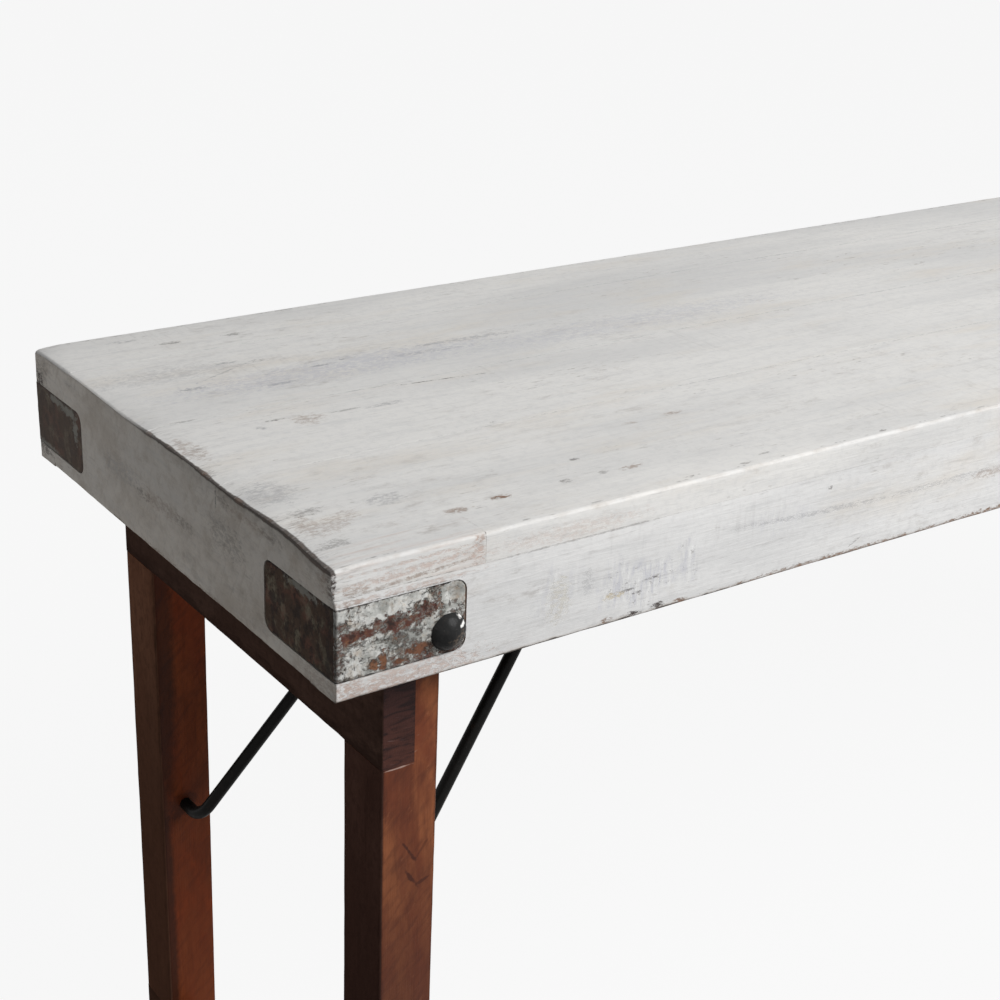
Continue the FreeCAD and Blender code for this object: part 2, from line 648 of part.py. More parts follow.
def rails():
    """The top rail and the lower stretcher of both leg frames."""
    places = lap_screw_places()
    stretcher_top = "(Sizes.stretcher_lift + Sizes.stretcher_height)"
    upper = rail("top_rail", RAIL_BOTTOM, RAIL_TOP, "Sizes.rail_thickness", places[:2])
    lower = rail("stretcher", "Sizes.stretcher_lift", stretcher_top, "Sizes.stretcher_thickness", places[2:])
    return upper + lower


def lap_screws():
    """The screws that hold the rails in the legs' laps, one sub-part for each leg frame."""
    front = [wood_screw(f"lap_screw_{number}", (lap_screw_head(height), across, height), AGAINST_X,
                        lap_screw_length(height))
             for number, (across, height) in enumerate(lap_screw_places())]
    front_leg = compound("lap_screws_front", front)
    left = compound("lap_screws_left", [front_leg, mirrored(front_leg, "lap_screws_back", Y_AXIS)])
    return [left, mirrored(left, "lap_screws_right", X_AXIS)]


def brace_path():
    """The centre line of the left brace: legs' holes, bends, arms and crossbar, all in one slanted plane."""
    start = FreeCAD.Vector(value(BRACE_X), 0, value(BRACE_Z))
    end = FreeCAD.Vector(value(CROSSBAR_X), 0, value(CROSSBAR_Z))
    bar_y = -value("Sizes.crossbar_length / 2")
    half = [start + Y_AXIS * value(BRACE_TIP_Y), start + Y_AXIS * value(BRACE_FOOT_Y), end + Y_AXIS * bar_y]
    corners = half + [FreeCAD.Vector(point.x, -point.y, point.z) for point in reversed(half)]
    bend = value("Sizes.brace_bend_radius")
    edges = []
    last = corners[0]
    for before, corner, after in zip(corners, corners[1:], corners[2:]):
        back = (before - corner).normalize()
        ahead = (after - corner).normalize()
        half_angle = back.getAngle(ahead) / 2
        inset = bend / math.tan(half_angle)
        first = corner + back * inset
        second = corner + ahead * inset
        crown = corner + (back + ahead).normalize() * (bend / math.sin(half_angle) - bend)
        edges.append(Part.LineSegment(last, first).toShape())
        edges.append(Part.Arc(first, crown, second).toShape())
        last = second
    edges.append(Part.LineSegment(last, corners[-1]).toShape())
    path = doc.addObject("Part::Feature", "brace_path")
    path.Shape = Part.Wire(edges)
    return path


def braces():
    """The bent rods that hold the leg frames open."""
    path = brace_path()
    tip = (BRACE_X, BRACE_TIP_Y, BRACE_Z)
    section = solid("Circle", "brace_section", tip, ALONG_Y, {"Radius": "Sizes.rod_diameter / 2"})
    brace = doc.addObject("Part::Sweep", "brace_left")
    brace.Label = "brace_left"
    brace.Sections = [section]
    brace.Spine = (path, [f"Edge{number}" for number in range(1, len(path.Shape.Edges) + 1)])
    brace.Solid = True
    brace.Frenet = False
    return [brace, mirrored(brace, "brace_right", X_AXIS)]


def keepers():
    """Spring clips under the battens, each open along the way its brace's crossbar leaves."""
    half_width = "(Sizes.keeper_width / 2)"
    plate = solid("Box", "keeper_plate", (CROSSBAR_X, f"(-{half_width})", KEEPER_SCREW_Z), ALONG_Z, {
        "Length": "Sizes.keeper_plate_length",
        "Width": "Sizes.keeper_width",
        "Height": "Sizes.keeper_thickness",
    })
    # The roll starts over the crossbar and goes round its outer side to the jaw below
    rolled = FreeCAD.Rotation(X_AXIS, 90).multiply(FreeCAD.Rotation(Z_AXIS, 90))
    roll_start = (CROSSBAR_X, half_width, CROSSBAR_Z)
    roll = solid("Cylinder", "keeper_roll", roll_start, rolled, {
        "Radius": KEEPER_OUTER_RADIUS,
        "Height": "Sizes.keeper_width",
        "Angle": "180 - Sizes.keeper_jaw_slope",
    })
    seat = solid("Cylinder", "keeper_seat", (CROSSBAR_X, f"({half_width} + {PAST})", CROSSBAR_Z), rolled, {
        "Radius": KEEPER_INNER_RADIUS,
        "Height": f"Sizes.keeper_width + 2 * {PAST}",
    })
    jaw = solid("Box", "keeper_jaw", (
        f"({CROSSBAR_X} - {KEEPER_OUTER_RADIUS} * sin(Sizes.keeper_jaw_slope))",
        f"(-{half_width})",
        f"({CROSSBAR_Z} - {KEEPER_OUTER_RADIUS} * cos(Sizes.keeper_jaw_slope))",
    ), FreeCAD.Rotation(Y_AXIS, 1), {
        "Length": "Sizes.keeper_jaw_length",
        "Width": "Sizes.keeper_width",
        "Height": "Sizes.keeper_thickness",
    })
    bind(jaw, {"Placement.Rotation.Angle": "Sizes.keeper_jaw_slope"})
    clip = fused("keeper_clip", [plate, difference("keeper_hook", roll, seat), jaw])
    tools = []
    for side, y in keeper_screw_places().items():
        tools.append(solid("Cone", f"keeper_sink_{side}", (KEEPER_SCREW_X, y, KEEPER_SCREW_Z), ALONG_Z, {
            "Radius1": SCREW_HEAD_HOLE_RADIUS,
            "Radius2": SCREW_HOLE_RADIUS,
            "Height": "Sizes.screw_head_height",
        }))
        below = (KEEPER_SCREW_X, y, f"({KEEPER_SCREW_Z} - {PAST})")
        tools.append(solid("Cylinder", f"keeper_hole_{side}", below, ALONG_Z, {
            "Radius": SCREW_HOLE_RADIUS,
            "Height": f"Sizes.keeper_thickness + 2 * {PAST}",
        }))
    keeper = difference("brace_keeper_left", clip, fused("keeper_holes", tools))
    return [keeper, mirrored(keeper, "brace_keeper_right", X_AXIS)]


def keeper_screw_places():
    """The Y of a keeper's two screws."""
    return {"front": "(-Sizes.keeper_screw_spread / 2)", "back": "(Sizes.keeper_screw_spread / 2)"}


def keeper_screws():
    """The screws that hold the keepers to their battens."""
    left = compound("keeper_screws_left", [
        wood_screw(f"keeper_screw_{side}", (KEEPER_SCREW_X, y, KEEPER_SCREW_Z), ALONG_Z, KEEPER_SCREW_LENGTH)
        for side, y in keeper_screw_places().items()])
    return compound("keeper_screws", [left, mirrored(left, "keeper_screws_right", X_AXIS)])


def batten(label, near, far, line):
    """A cross batten between the long aprons, with a screw hole under each plank."""
    board = body(label)
    block(board, f"{label}_board", (near, BATTEN_START_Y, BATTEN_UNDER),
          (far, f"(-{BATTEN_START_Y})", PLANK_UNDER))
    for number in range(len(PLANK_LABELS)):
        head = (line, plank_screw_y(number), BATTEN_SCREW_Z)
        mouth = (line, plank_screw_y(number), f"({BATTEN_UNDER} - {PAST})")
        screw_hole(board, f"{label}_hole_{number}", mouth, ALONG_Z, f"Sizes.batten_thickness + 2 * {PAST}")
        drill(board, f"{label}_sink_{number}", mouth, ALONG_Z, SCREW_HEAD_HOLE_RADIUS,
              f"Sizes.screw_sink + {PAST}")
        countersink(board, f"{label}_seat_{number}", head, ALONG_Z)
    return board


def battens():
    """The two battens that carry the keepers and one across the middle."""
    left = batten("batten_left", f"({CROSSBAR_X} - Sizes.batten_margin)",
                  f"({BATTEN_SCREW_X} + Sizes.batten_margin)", BATTEN_SCREW_X)
    for side, y in keeper_screw_places().items():
        screw_hole(left, f"keeper_pilot_{side}", (KEEPER_SCREW_X, y, f"({BATTEN_UNDER} - {PAST})"), ALONG_Z,
                   f"Sizes.batten_thickness - Sizes.keeper_screw_cover + Sizes.screw_sink + {PAST}")
    half = "(Sizes.middle_batten_width / 2)"
    middle_batten = batten("batten_middle", f"(-{half})", half, SCREW_LINES["middle"])
    return [left, middle_batten, mirrored(left, "batten_right", X_AXIS)]


def batten_screws():
    """The screws that hold the planks down on the battens."""
    pieces = []
    for side in ("left", "middle"):
        row_of_screws = [
            wood_screw(f"batten_screw_{side}_{number}",
                       (SCREW_LINES[side], plank_screw_y(number), BATTEN_SCREW_Z),
                       ALONG_Z, BATTEN_SCREW_LENGTH)
            for number in range(len(PLANK_LABELS))]
        pieces.append(compound(f"batten_screws_{side}", row_of_screws))
    return compound("batten_screws", pieces + [mirrored(pieces[0], "batten_screws_right", X_AXIS)])


def table():
    """Every sub-part of the table."""
    return (planks() + [edge_patch()] + long_apron() + end_apron() + straps()
            + [pivot_bolts(),
               four_corners("pivot_spacers", washer("pivot_spacer", APRON_INNER_Y)),
               four_corners("nut_washers", washer("nut_washer", INNER_WASHER_Y)),
               pivot_nuts()]
            + battens() + [batten_screws()] + keepers() + [keeper_screws()]
            + legs() + rails() + lap_screws() + braces())


def check(parts):
    """Stop if any object failed or a sub-part has no valid shape."""
    for item in doc.Objects:
        if "Invalid" in item.State or "Error" in item.State:
            raise RuntimeError(f"{item.Label} failed: {item.State}")
    for part in parts:
        if part.Shape.isNull() or not part.Shape.isValid() or not part.Shape.Solids:
            raise RuntimeError(f"{part.Label} has no valid shape")


def write(parts):
    """Write each sub-part to its own file."""
    os.makedirs("parts", exist_ok=True)
    for part in parts:
        part.Shape.exportStep(f"parts/{part.Label}.step")


sub_parts = table()
doc.recompute()
check(sub_parts)
write(sub_parts)
print(len(sub_parts), "sub-parts,", sum(len(part.Shape.Solids) for part in sub_parts), "solids")
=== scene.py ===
"""The folding console table, dressed: whitewashed planks, iron corner straps, stained leg frames, rod braces.

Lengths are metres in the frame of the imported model: X along the table, Y from front to back, Z up.
"""

import logging
import math
from contextlib import contextmanager
from dataclasses import dataclass, field
from enum import Enum
from functools import reduce
from typing import Callable, Iterator, Sequence, Union

import bmesh
import bpy
from mathutils import Matrix, Vector


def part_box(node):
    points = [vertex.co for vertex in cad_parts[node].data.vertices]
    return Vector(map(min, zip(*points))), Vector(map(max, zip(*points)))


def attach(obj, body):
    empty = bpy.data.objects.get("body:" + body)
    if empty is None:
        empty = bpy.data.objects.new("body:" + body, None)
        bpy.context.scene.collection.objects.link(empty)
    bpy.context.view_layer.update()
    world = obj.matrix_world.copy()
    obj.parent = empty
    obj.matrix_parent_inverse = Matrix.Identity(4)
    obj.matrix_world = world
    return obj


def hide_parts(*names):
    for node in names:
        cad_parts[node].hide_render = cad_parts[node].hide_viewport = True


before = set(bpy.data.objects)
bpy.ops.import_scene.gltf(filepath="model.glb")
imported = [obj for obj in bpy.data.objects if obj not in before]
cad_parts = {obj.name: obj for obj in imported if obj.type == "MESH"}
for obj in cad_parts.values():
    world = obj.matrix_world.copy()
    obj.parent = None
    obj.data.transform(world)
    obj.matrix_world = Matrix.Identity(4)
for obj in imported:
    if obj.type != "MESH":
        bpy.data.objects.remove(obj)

LOG = logging.getLogger("folding_table")
MM = 0.001
# How near a point has to lie to a face to count as being on it
TOUCH = 0.02 * MM
# How many flats a rounded edge of a board has, and below which angle faces are shaded as one
ROUND_FLATS = 4
SMOOTH_ANGLE = math.radians(35.0)
# The block that planks and aprons make up
HALF_LENGTH, HALF_DEPTH, TOP_HEIGHT, BOTTOM_HEIGHT = 900.0 * MM, 225.0 * MM, 760.0 * MM, 674.0 * MM
# How far a face's normal has to point along an axis to count as facing that way: a flat face, a board's chipped
# end, and the outer faces of a rail and a leg with their rounded edges
FACING, CUT_FACING, RAIL_FACING, LEG_FACING = 0.8, 0.75, 0.35, 0.45
# How much the block's edges wear, by the axes of the two faces that meet in them
UPPER_WEAR = {(0, 1): 0.62, (0, 2): 1.0, (1, 2): 0.50}
LOWER_WEAR = {(0, 1): 0.62, (0, 2): 0.75, (1, 2): 0.85}
# Parts of a width at which a leg or rail gets rows of points
QUARTERS = (0.25, 0.5, 0.75)
# Distances from a mark's middle, in its half sizes, between which it fades out
MARK_CORE, MARK_RIM = 0.55, 1.15
# How far a mark with a frayed outline may reach, in its half sizes
FRAYED_REACH = 1.4

Triple = tuple[float, float, float]
Colour = Triple
Piece = bpy.types.Object
Material = bpy.types.Material
Socket = bpy.types.NodeSocket
Feed = Union[Socket, float, Sequence[float]]


class Axis(Enum):
    """The three directions of the table's frame."""

    X = 0
    Y = 1
    Z = 2


class Side(Enum):
    """The two ends of the table, with the sign of their X."""

    LEFT = -1
    RIGHT = 1


class Kind(Enum):
    """What is picked in edit mode, with the name of a mesh's list of them."""

    EDGE = "edges"
    FACE = "faces"


@dataclass(frozen=True)
class Arris:
    """One edge of a block: the way it runs, the two faces that it joins, and its rounding."""

    along: Axis
    sides: tuple[int, int]
    radius: float


@dataclass
class Block:
    """A box in the table's frame."""

    low: Vector
    high: Vector

    @classmethod
    def of(cls, *nodes: str) -> "Block":
        """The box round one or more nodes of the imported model.

        Args:
            nodes: the nodes' names.

        Returns:
            The smallest box that holds them all.
        """
        boxes = [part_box(node) for node in nodes]
        low = Vector(min(box[0][axis] for box in boxes) for axis in range(3))
        high = Vector(max(box[1][axis] for box in boxes) for axis in range(3))
        return cls(low, high)

    def far(self, axis: Axis) -> float:
        """Where the face that is farthest from the table's middle crosses an axis."""
        return max(self.low[axis.value], self.high[axis.value], key=abs)

    def near(self, axis: Axis) -> float:
        """Where the face that is nearest to the table's middle crosses an axis."""
        return min(self.low[axis.value], self.high[axis.value], key=abs)

    def grown(self, by: Triple) -> "Block":
        """This box with its faces moved outwards by a distance on each axis."""
        return Block(self.low - Vector(by), self.high + Vector(by))

    def edge_gap(self, point: Vector) -> tuple[float, tuple[int, int]]:
        """How far a point of the surface is from the nearest edge of the box.

        Args:
            point: a point on or in the box.

        Returns:
            The distance, and the two axes of the faces that meet in that edge.
        """
        gaps = sorted((min(point[axis] - self.low[axis], self.high[axis] - point[axis]), axis)
                      for axis in range(3))
        pair = tuple(sorted((gaps[0][1], gaps[1][1])))
        return max(gaps[1][0], 0.0), pair


class Bench:
    """Blender's operators, used one object at a time as a modeller uses them by hand."""

    @staticmethod
    def take(piece: Piece) -> None:
        """Make a piece the only selected object, and the active one.

        Args:
            piece: the object.
        """
        bpy.ops.object.select_all(action="DESELECT")
        piece.select_set(True)
        bpy.context.view_layer.objects.active = piece

    @staticmethod
    def settle(piece: Piece, name: str) -> Piece:
        """Name a new object and put its place, turn and scale into its mesh.

        Args:
            piece: the new object.
            name: its name.

        Returns:
            The object, at the origin.
        """
        piece.name = name
        piece.data.name = name
        Bench.take(piece)
        bpy.ops.object.transform_apply(location=True, rotation=True, scale=True)
        return piece

    @staticmethod
    def cube(name: str, block: Block) -> Piece:
        """Add a cube and stretch it to a box.

        Args:
            name: the new object's name.
            block: the box to fill.

        Returns:
            The new object, at the origin.
        """
        bpy.ops.object.select_all(action="DESELECT")
        bpy.ops.mesh.primitive_cube_add(size=1.0, location=(block.low + block.high) / 2)
        piece = bpy.context.active_object
        piece.scale = block.high - block.low
        return Bench.settle(piece, name)

    @staticmethod
    def rod(name: str, start: Vector, end: Vector, radius: float, sides: int = 32) -> Piece:
        """Add a cylinder between two points.

        Args:
            name: the new object's name.
            start: the middle of one end.
            end: the middle of the other end.
            radius: the cylinder's radius.
            sides: how many flats it has.

        Returns:
            The new object, at the origin.
        """
        run = end - start
        bpy.ops.object.select_all(action="DESELECT")
        bpy.ops.mesh.primitive_cylinder_add(vertices=sides, radius=radius, depth=run.length,
                                            location=(start + end) / 2)
        piece = bpy.context.active_object
        piece.rotation_euler = run.to_track_quat("Z", "Y").to_euler()
        return Bench.settle(piece, name)

    @staticmethod
    def modify(piece: Piece, kind: str, **settings: object) -> None:
        """Add a modifier to a piece, set it up and apply it.

        Args:
            piece: the object.
            kind: Blender's name for the modifier.
            settings: the modifier's settings, by name.
        """
        Bench.take(piece)
        bpy.ops.object.modifier_add(type=kind)
        modifier = piece.modifiers[-1]
        for name, value in settings.items():
            setattr(modifier, name, value)
        bpy.ops.object.modifier_apply(modifier=modifier.name)

    @staticmethod
    @contextmanager
    def editing(piece: Piece) -> Iterator[None]:
        """Work on a piece in edit mode.

        Args:
            piece: the object to edit.
        """
        Bench.take(piece)
        bpy.ops.object.mode_set(mode="EDIT")
        yield
        bpy.ops.object.mode_set(mode="OBJECT")

    @staticmethod
    def pick(piece: Piece, kind: Kind, wanted: Callable[..., bool]) -> None:
        """In edit mode, select the edges or faces that pass a test and nothing else.

        Args:
            piece: the object in edit mode.
            kind: what is picked.
            wanted: the test of one edge or face.
        """
        bpy.ops.mesh.select_mode(type=kind.name)
        bpy.ops.mesh.select_all(action="DESELECT")
        mesh = bmesh.from_edit_mesh(piece.data)
        for item in getattr(mesh, kind.value):
            if wanted(item):
                item.select_set(True)
        bmesh.update_edit_mesh(piece.data)

    @staticmethod
    def runs_along(edge: bmesh.types.BMEdge, axis: Axis) -> bool:
        """Whether an edge runs along an axis."""
        run = edge.verts[1].co - edge.verts[0].co
        return run.length > TOUCH and abs(run[axis.value]) > 0.999 * run.length

    @staticmethod
    def round_arrises(piece: Piece, block: Block, arrises: Sequence[Arris]) -> None:
        """Round chosen edges of a block, each by its own radius, in one bevel.

        Args:
            piece: the block's object.
            block: the box that it fills.
            arrises: the edges to round.
        """
        widest = max(arris.radius for arris in arrises)
        weights = piece.data.attributes.new("bevel_weight_edge", "FLOAT", "EDGE")
        for edge in piece.data.edges:
            ends = [piece.data.vertices[index].co for index in edge.vertices]
            for arris in arrises:
                others = [axis for axis in range(3) if axis != arris.along.value]
                walls = [block.high[axis] if side > 0 else block.low[axis]
                         for axis, side in zip(others, arris.sides)]
                if all(abs(end[axis] - wall) < TOUCH for end in ends for axis, wall in zip(others, walls)):
                    weights.data[edge.index].value = arris.radius / widest
        Bench.modify(piece, "BEVEL", limit_method="WEIGHT", width=widest, segments=ROUND_FLATS,
                     use_clamp_overlap=False)

    @staticmethod
    def divide(piece: Piece, axis: Axis, cuts: int) -> None:
        """Divide every edge that runs along an axis into equal lengths.

        Args:
            piece: the object to divide.
            axis: the way the edges run.
            cuts: how many new points each edge gets.
        """
        with Bench.editing(piece):
            Bench.pick(piece, Kind.EDGE, lambda edge: Bench.runs_along(edge, axis))
            bpy.ops.mesh.subdivide(number_cuts=cuts)

    @staticmethod
    def slice(piece: Piece, axis: Axis, places: Sequence[float]) -> None:
        """Cut a piece's faces by planes across an axis, and keep both sides.

        Args:
            piece: the object to cut.
            axis: the planes' normal.
            places: where the planes cross the axis.
        """
        normal = Vector()
        normal[axis.value] = 1.0
        with Bench.editing(piece):
            for place in places:
                bpy.ops.mesh.select_all(action="SELECT")
                bpy.ops.mesh.bisect(plane_co=normal * place, plane_no=normal)

    @staticmethod
    def quarter(piece: Piece, block: Block, axis: Axis) -> None:
        """Cut a board's faces by planes at the quarters of its box's width along an axis."""
        low, width = block.low[axis.value], block.high[axis.value] - block.low[axis.value]
        Bench.slice(piece, axis, [low + width * share for share in QUARTERS])

    @staticmethod
    def weigh(piece: Piece, name: str, weight: Callable[[Vector], float]) -> str:
        """Make a vertex group whose weights a function gives.

        Args:
            piece: the object.
            name: the group's name.
            weight: the weight at a point.

        Returns:
            The group's name.
        """
        group = piece.vertex_groups.new(name=name)
        for vertex in piece.data.vertices:
            amount = weight(vertex.co)
            if amount > 0.0:
                group.add([vertex.index], min(amount, 1.0), "REPLACE")
        return name

    @staticmethod
    def note(piece: Piece, name: str, amount: Callable[[Vector], float]) -> None:
        """Write a number for each point of a mesh, for its material to read."""
        attribute = piece.data.attributes.new(name, "FLOAT", "POINT")
        attribute.data.foreach_set("value", [amount(vertex.co) for vertex in piece.data.vertices])

    @staticmethod
    def uneven(piece: Piece, name: str, grain: float, depth: float, level: float, group: str = "") -> None:
        """Push a surface in and out by a cloudy noise.

        Args:
            piece: the object.
            name: the noise's name.
            grain: the size of the noise's lumps.
            depth: how far the noise's full range moves a point.
            level: the noise value that leaves a point where it is.
            group: the vertex group that limits it.
        """
        lumps = bpy.data.textures.new(name, type="CLOUDS")
        lumps.noise_scale = grain
        lumps.noise_depth = 2
        Bench.modify(piece, "DISPLACE", texture=lumps, texture_coords="LOCAL", strength=depth, mid_level=level,
                     vertex_group=group)

    @staticmethod
    def push(piece: Piece, name: str, weight: Callable[[Vector], float], depth: float, direction: str) -> None:
        """Move points along an axis or their NORMAL, by a depth times the weight that a function gives."""
        group = Bench.weigh(piece, name, weight)
        Bench.modify(piece, "DISPLACE", strength=depth, mid_level=0.0, vertex_group=group, direction=direction)

    @staticmethod
    def carve(piece: Piece, cutter: Piece) -> None:
        """Cut one object out of another and throw the cutter away."""
        Bench.modify(piece, "BOOLEAN", operation="DIFFERENCE", solver="EXACT", object=cutter)
        bpy.data.objects.remove(cutter)

    @staticmethod
    def smooth(piece: Piece) -> None:
        """Shade a piece smooth where its faces meet at a small angle, flat faces kept flat.

        Args:
            piece: the object.
        """
        Bench.take(piece)
        bpy.ops.object.shade_smooth_by_angle(angle=SMOOTH_ANGLE)
        Bench.modify(piece, "WEIGHTED_NORMAL", keep_sharp=True)

    @staticmethod
    def join(name: str, pieces: Sequence[Piece]) -> Piece:
        """Make several objects one.

        Args:
            name: the joined object's name.
            pieces: the objects.

        Returns:
            The joined object.
        """
        bpy.ops.object.select_all(action="DESELECT")
        for piece in pieces:
            piece.select_set(True)
        bpy.context.view_layer.objects.active = pieces[0]
        bpy.ops.object.join()
        pieces[0].name = name
        pieces[0].data.name = name
        return pieces[0]


class Tree:
    """A material's nodes, laid down step by step."""

    def __init__(self, name: str) -> None:
        """Start a material with one principled shader on Object coordinates.

        Args:
            name: the material's name.
        """
        self.material = bpy.data.materials.new(name)
        self.material.use_nodes = True
        self.nodes = self.material.node_tree.nodes
        self.links = self.material.node_tree.links
        self.nodes.clear()
        output = self.nodes.new("ShaderNodeOutputMaterial")
        self.shader = self.nodes.new("ShaderNodeBsdfPrincipled")
        self.links.new(self.shader.outputs["BSDF"], output.inputs["Surface"])
        self.place = self.nodes.new("ShaderNodeTexCoord").outputs["Object"]
        split = self.nodes.new("ShaderNodeSeparateXYZ")
        self.links.new(self.place, split.inputs[0])
        self.x, self.y, self.z = split.outputs

    def feed(self, socket: Socket, value: Feed) -> None:
        """Link an output to a socket, or set the socket's value.

        Args:
            socket: the socket.
            value: the output or the value.
        """
        if isinstance(value, Socket):
            self.links.new(value, socket)
        else:
            socket.default_value = (*value, 1.0) if socket.type == "RGBA" else value

    def add(self, kind: str, feeds: dict[Union[str, int], Feed]) -> bpy.types.Node:
        """Add a node.

        Args:
            kind: Blender's name for it.
            feeds: what goes into its sockets, by their names or numbers.

        Returns:
            The node.
        """
        node = self.nodes.new(kind)
        for key, value in feeds.items():
            self.feed(node.inputs[key], value)
        return node

    def seen_from(self, place: Triple, turn: Triple, unit: Triple) -> Socket:
        """Object coordinates measured from a place.

        Args:
            place: where they are 0.
            turn: how far their axes are turned, in radians.
            unit: how long 1 is along each of them.

        Returns:
            The coordinates.
        """
        node = self.add("ShaderNodeMapping", {"Location": place, "Rotation": turn, "Scale": unit,
                                              "Vector": self.place})
        node.vector_type = "TEXTURE"
        return node.outputs[0]

    def noise(self, stretch: Union[float, Triple], shift: float, detail: float, roughness: float = 0.5,
              distortion: float = 0.0, turn: Triple = (0.0, 0.0, 0.0)) -> Socket:
        """Cloudy noise in the table's frame.

        Args:
            stretch: lumps per metre, along all axes alike or along each one.
            shift: moves the pattern, so that two of them differ.
            detail: how many finer layers it has.
            roughness: how strong the finer layers are.
            distortion: how much the pattern is bent by itself.
            turn: how far its lumps are turned, in radians about each axis.

        Returns:
            The noise, from 0 to 1.
        """
        lumps = (stretch,) * 3 if isinstance(stretch, float) else stretch
        place = self.seen_from((shift, shift * 0.7, shift * 1.3), turn, tuple(1.0 / count for count in lumps))
        return self.add("ShaderNodeTexNoise", {"Vector": place, "Scale": 1.0, "Detail": detail,
                                               "Roughness": roughness, "Distortion": distortion}).outputs[0]

    def band(self, value: Feed, start: float, end: float, top: float = 1.0) -> Socket:
        """A smooth rise from 0 at one value to a top at another, or a fall where start is above end.

        Args:
            value: the number.
            start: where the rise starts.
            end: where it ends.
            top: its height there.

        Returns:
            The height.
        """
        ramp = self.add("ShaderNodeMapRange", {"Value": value, "From Min": start, "From Max": end,
                                               "To Min": 0.0, "To Max": top})
        ramp.interpolation_type = "SMOOTHSTEP"
        return ramp.outputs["Result"]

    def math(self, operation: str, first: Feed, second: Feed = 0.0, third: Feed = 0.0) -> Socket:
        """One step of arithmetic.

        Args:
            operation: Blender's name for it.
            first: the first number.
            second: the second number.
            third: the third number.

        Returns:
            The result.
        """
        node = self.add("ShaderNodeMath", {0: first, 1: second, 2: third})
        node.operation = operation
        return node.outputs[0]

    def plus(self, first: Feed, second: Feed) -> Socket:
        """The sum of two numbers."""
        return self.math("ADD", first, second)

    def minus(self, first: Feed, second: Feed) -> Socket:
        """The first number less the second."""
        return self.math("SUBTRACT", first, second)

    def absolute(self, value: Feed) -> Socket:
        """A number without its sign."""
        return self.math("ABSOLUTE", value)

    def within(self, half: float, place: Socket) -> Socket:
        """How far a coordinate lies inside a half size, on either side of 0."""
        return self.minus(half, self.absolute(place))

    def line(self, value: Feed, slope: float, base: float) -> Socket:
        """A number times a slope, plus a base."""
        return self.math("MULTIPLY_ADD", value, slope, base)

    def swing(self, noise: Feed, width: float) -> Socket:
        """A noise from 0 to 1, made to swing about 0 over a width."""
        return self.line(noise, width, -width / 2)

    def times(self, *values: Feed) -> Socket:
        """The product of several numbers."""
        return reduce(lambda first, second: self.math("MULTIPLY", first, second), values)

    def highest(self, values: Sequence[Feed]) -> Feed:
        """The largest of several numbers."""
        return reduce(lambda first, second: self.math("MAXIMUM", first, second), values)

    def mix(self, factor: Feed, first: Feed, second: Feed) -> Socket:
        """Blend two colours.

        Args:
            factor: how much of the second colour shows.
            first: the colour below.
            second: the colour above.

        Returns:
            The blended colour.
        """
        node = self.nodes.new("ShaderNodeMix")
        node.data_type = "RGBA"
        for socket, value in ((0, factor), (6, first), (7, second)):
            self.feed(node.inputs[socket], value)
        return node.outputs[2]

    def lay(self, under: Feed, over: Feed, value: Feed, start: float, end: float, top: float = 1.0) -> Socket:
        """Lay one colour over another where a number is high, from a start to an end."""
        return self.mix(self.band(value, start, end, top), under, over)

    def edge(self, first: Feed, second: Feed, reach: float, top: float = 1.0) -> Socket:
        """How near a point is to an edge, from its distances to the edge's two faces: 0 at a reach."""
        return self.band(self.math("MAXIMUM", first, second), reach, 0.0, top)

    def attribute(self, name: str) -> Socket:
        """A number that the mesh carries at each point.

        Args:
            name: the attribute's name.

        Returns:
            The number.
        """
        node = self.nodes.new("ShaderNodeAttribute")
        node.attribute_name = name
        return node.outputs["Fac"]

    def bump(self, height: Feed, depth: float, normal: Union[Socket, None] = None) -> Socket:
        """Surface relief.

        Args:
            height: the relief, from 0 to 1.
            depth: how high a full step is.
            normal: the relief that this one lies on.

        Returns:
            The bent normal.
        """
        node = self.add("ShaderNodeBump", {"Strength": 1.0, "Distance": depth, "Height": height})
        if normal is not None:
            self.links.new(normal, node.inputs["Normal"])
        return node.outputs[0]

    def spots(self, marks: Sequence["Mark"], ragged: Socket) -> Feed:
        """Where any of several marks shows.

        Args:
            marks: the marks.
            ragged: a noise round 0 that frays their outlines.

        Returns:
            The strength of the strongest mark at each point.
        """
        shown = []
        for mark in marks:
            length = self.add("ShaderNodeVectorMath", {0: self.seen_from(mark.place, mark.turn, mark.reach)})
            length.operation = "LENGTH"
            reach = self.plus(length.outputs["Value"], ragged)
            shown.append(self.band(reach, MARK_RIM, MARK_CORE, mark.strength))
        return self.highest(shown)

    def finish(self, colour: Feed, roughness: Feed, normal: Union[Socket, None],
               metal: Feed = 0.0, gloss: float = 0.5) -> Material:
        """Join the layers to the shader.

        Args:
            colour: the base colour.
            roughness: the roughness.
            normal: the bent normal, if there is one.
            metal: how metallic the surface is.
            gloss: the specular level.

        Returns:
            The finished material.
        """
        for socket, value in (("Base Color", colour), ("Roughness", roughness), ("Metallic", metal),
                              ("Specular IOR Level", gloss)):
            self.feed(self.shader.inputs[socket], value)
        if normal is not None:
            self.links.new(normal, self.shader.inputs["Normal"])
        return self.material


class Tone(Enum):
    """What shows where the paint is worn or marked, and the colour of painted shadow."""

    WOOD = (0.25, 0.155, 0.105)
    DARK = (0.075, 0.06, 0.055)
    OCHRE = (0.60, 0.52, 0.38)
    GREY = (0.33, 0.33, 0.345)
    BLUE = (0.46, 0.465, 0.53)
    PINK = (0.55, 0.425, 0.37)
    CREAM = (0.58, 0.54, 0.45)
    # Painted shadow, laid on faces that stand in shade
    SOOT = (0.016, 0.009, 0.007)


@dataclass(frozen=True)
class Mark:
    """A worn place, or a place of painted shadow or highlight: its middle, its half sizes along its own axes,
    what shows there and how it is turned.
    """

    place: Triple
    reach: Triple
    tone: Tone
    strength: float
    turn: Triple


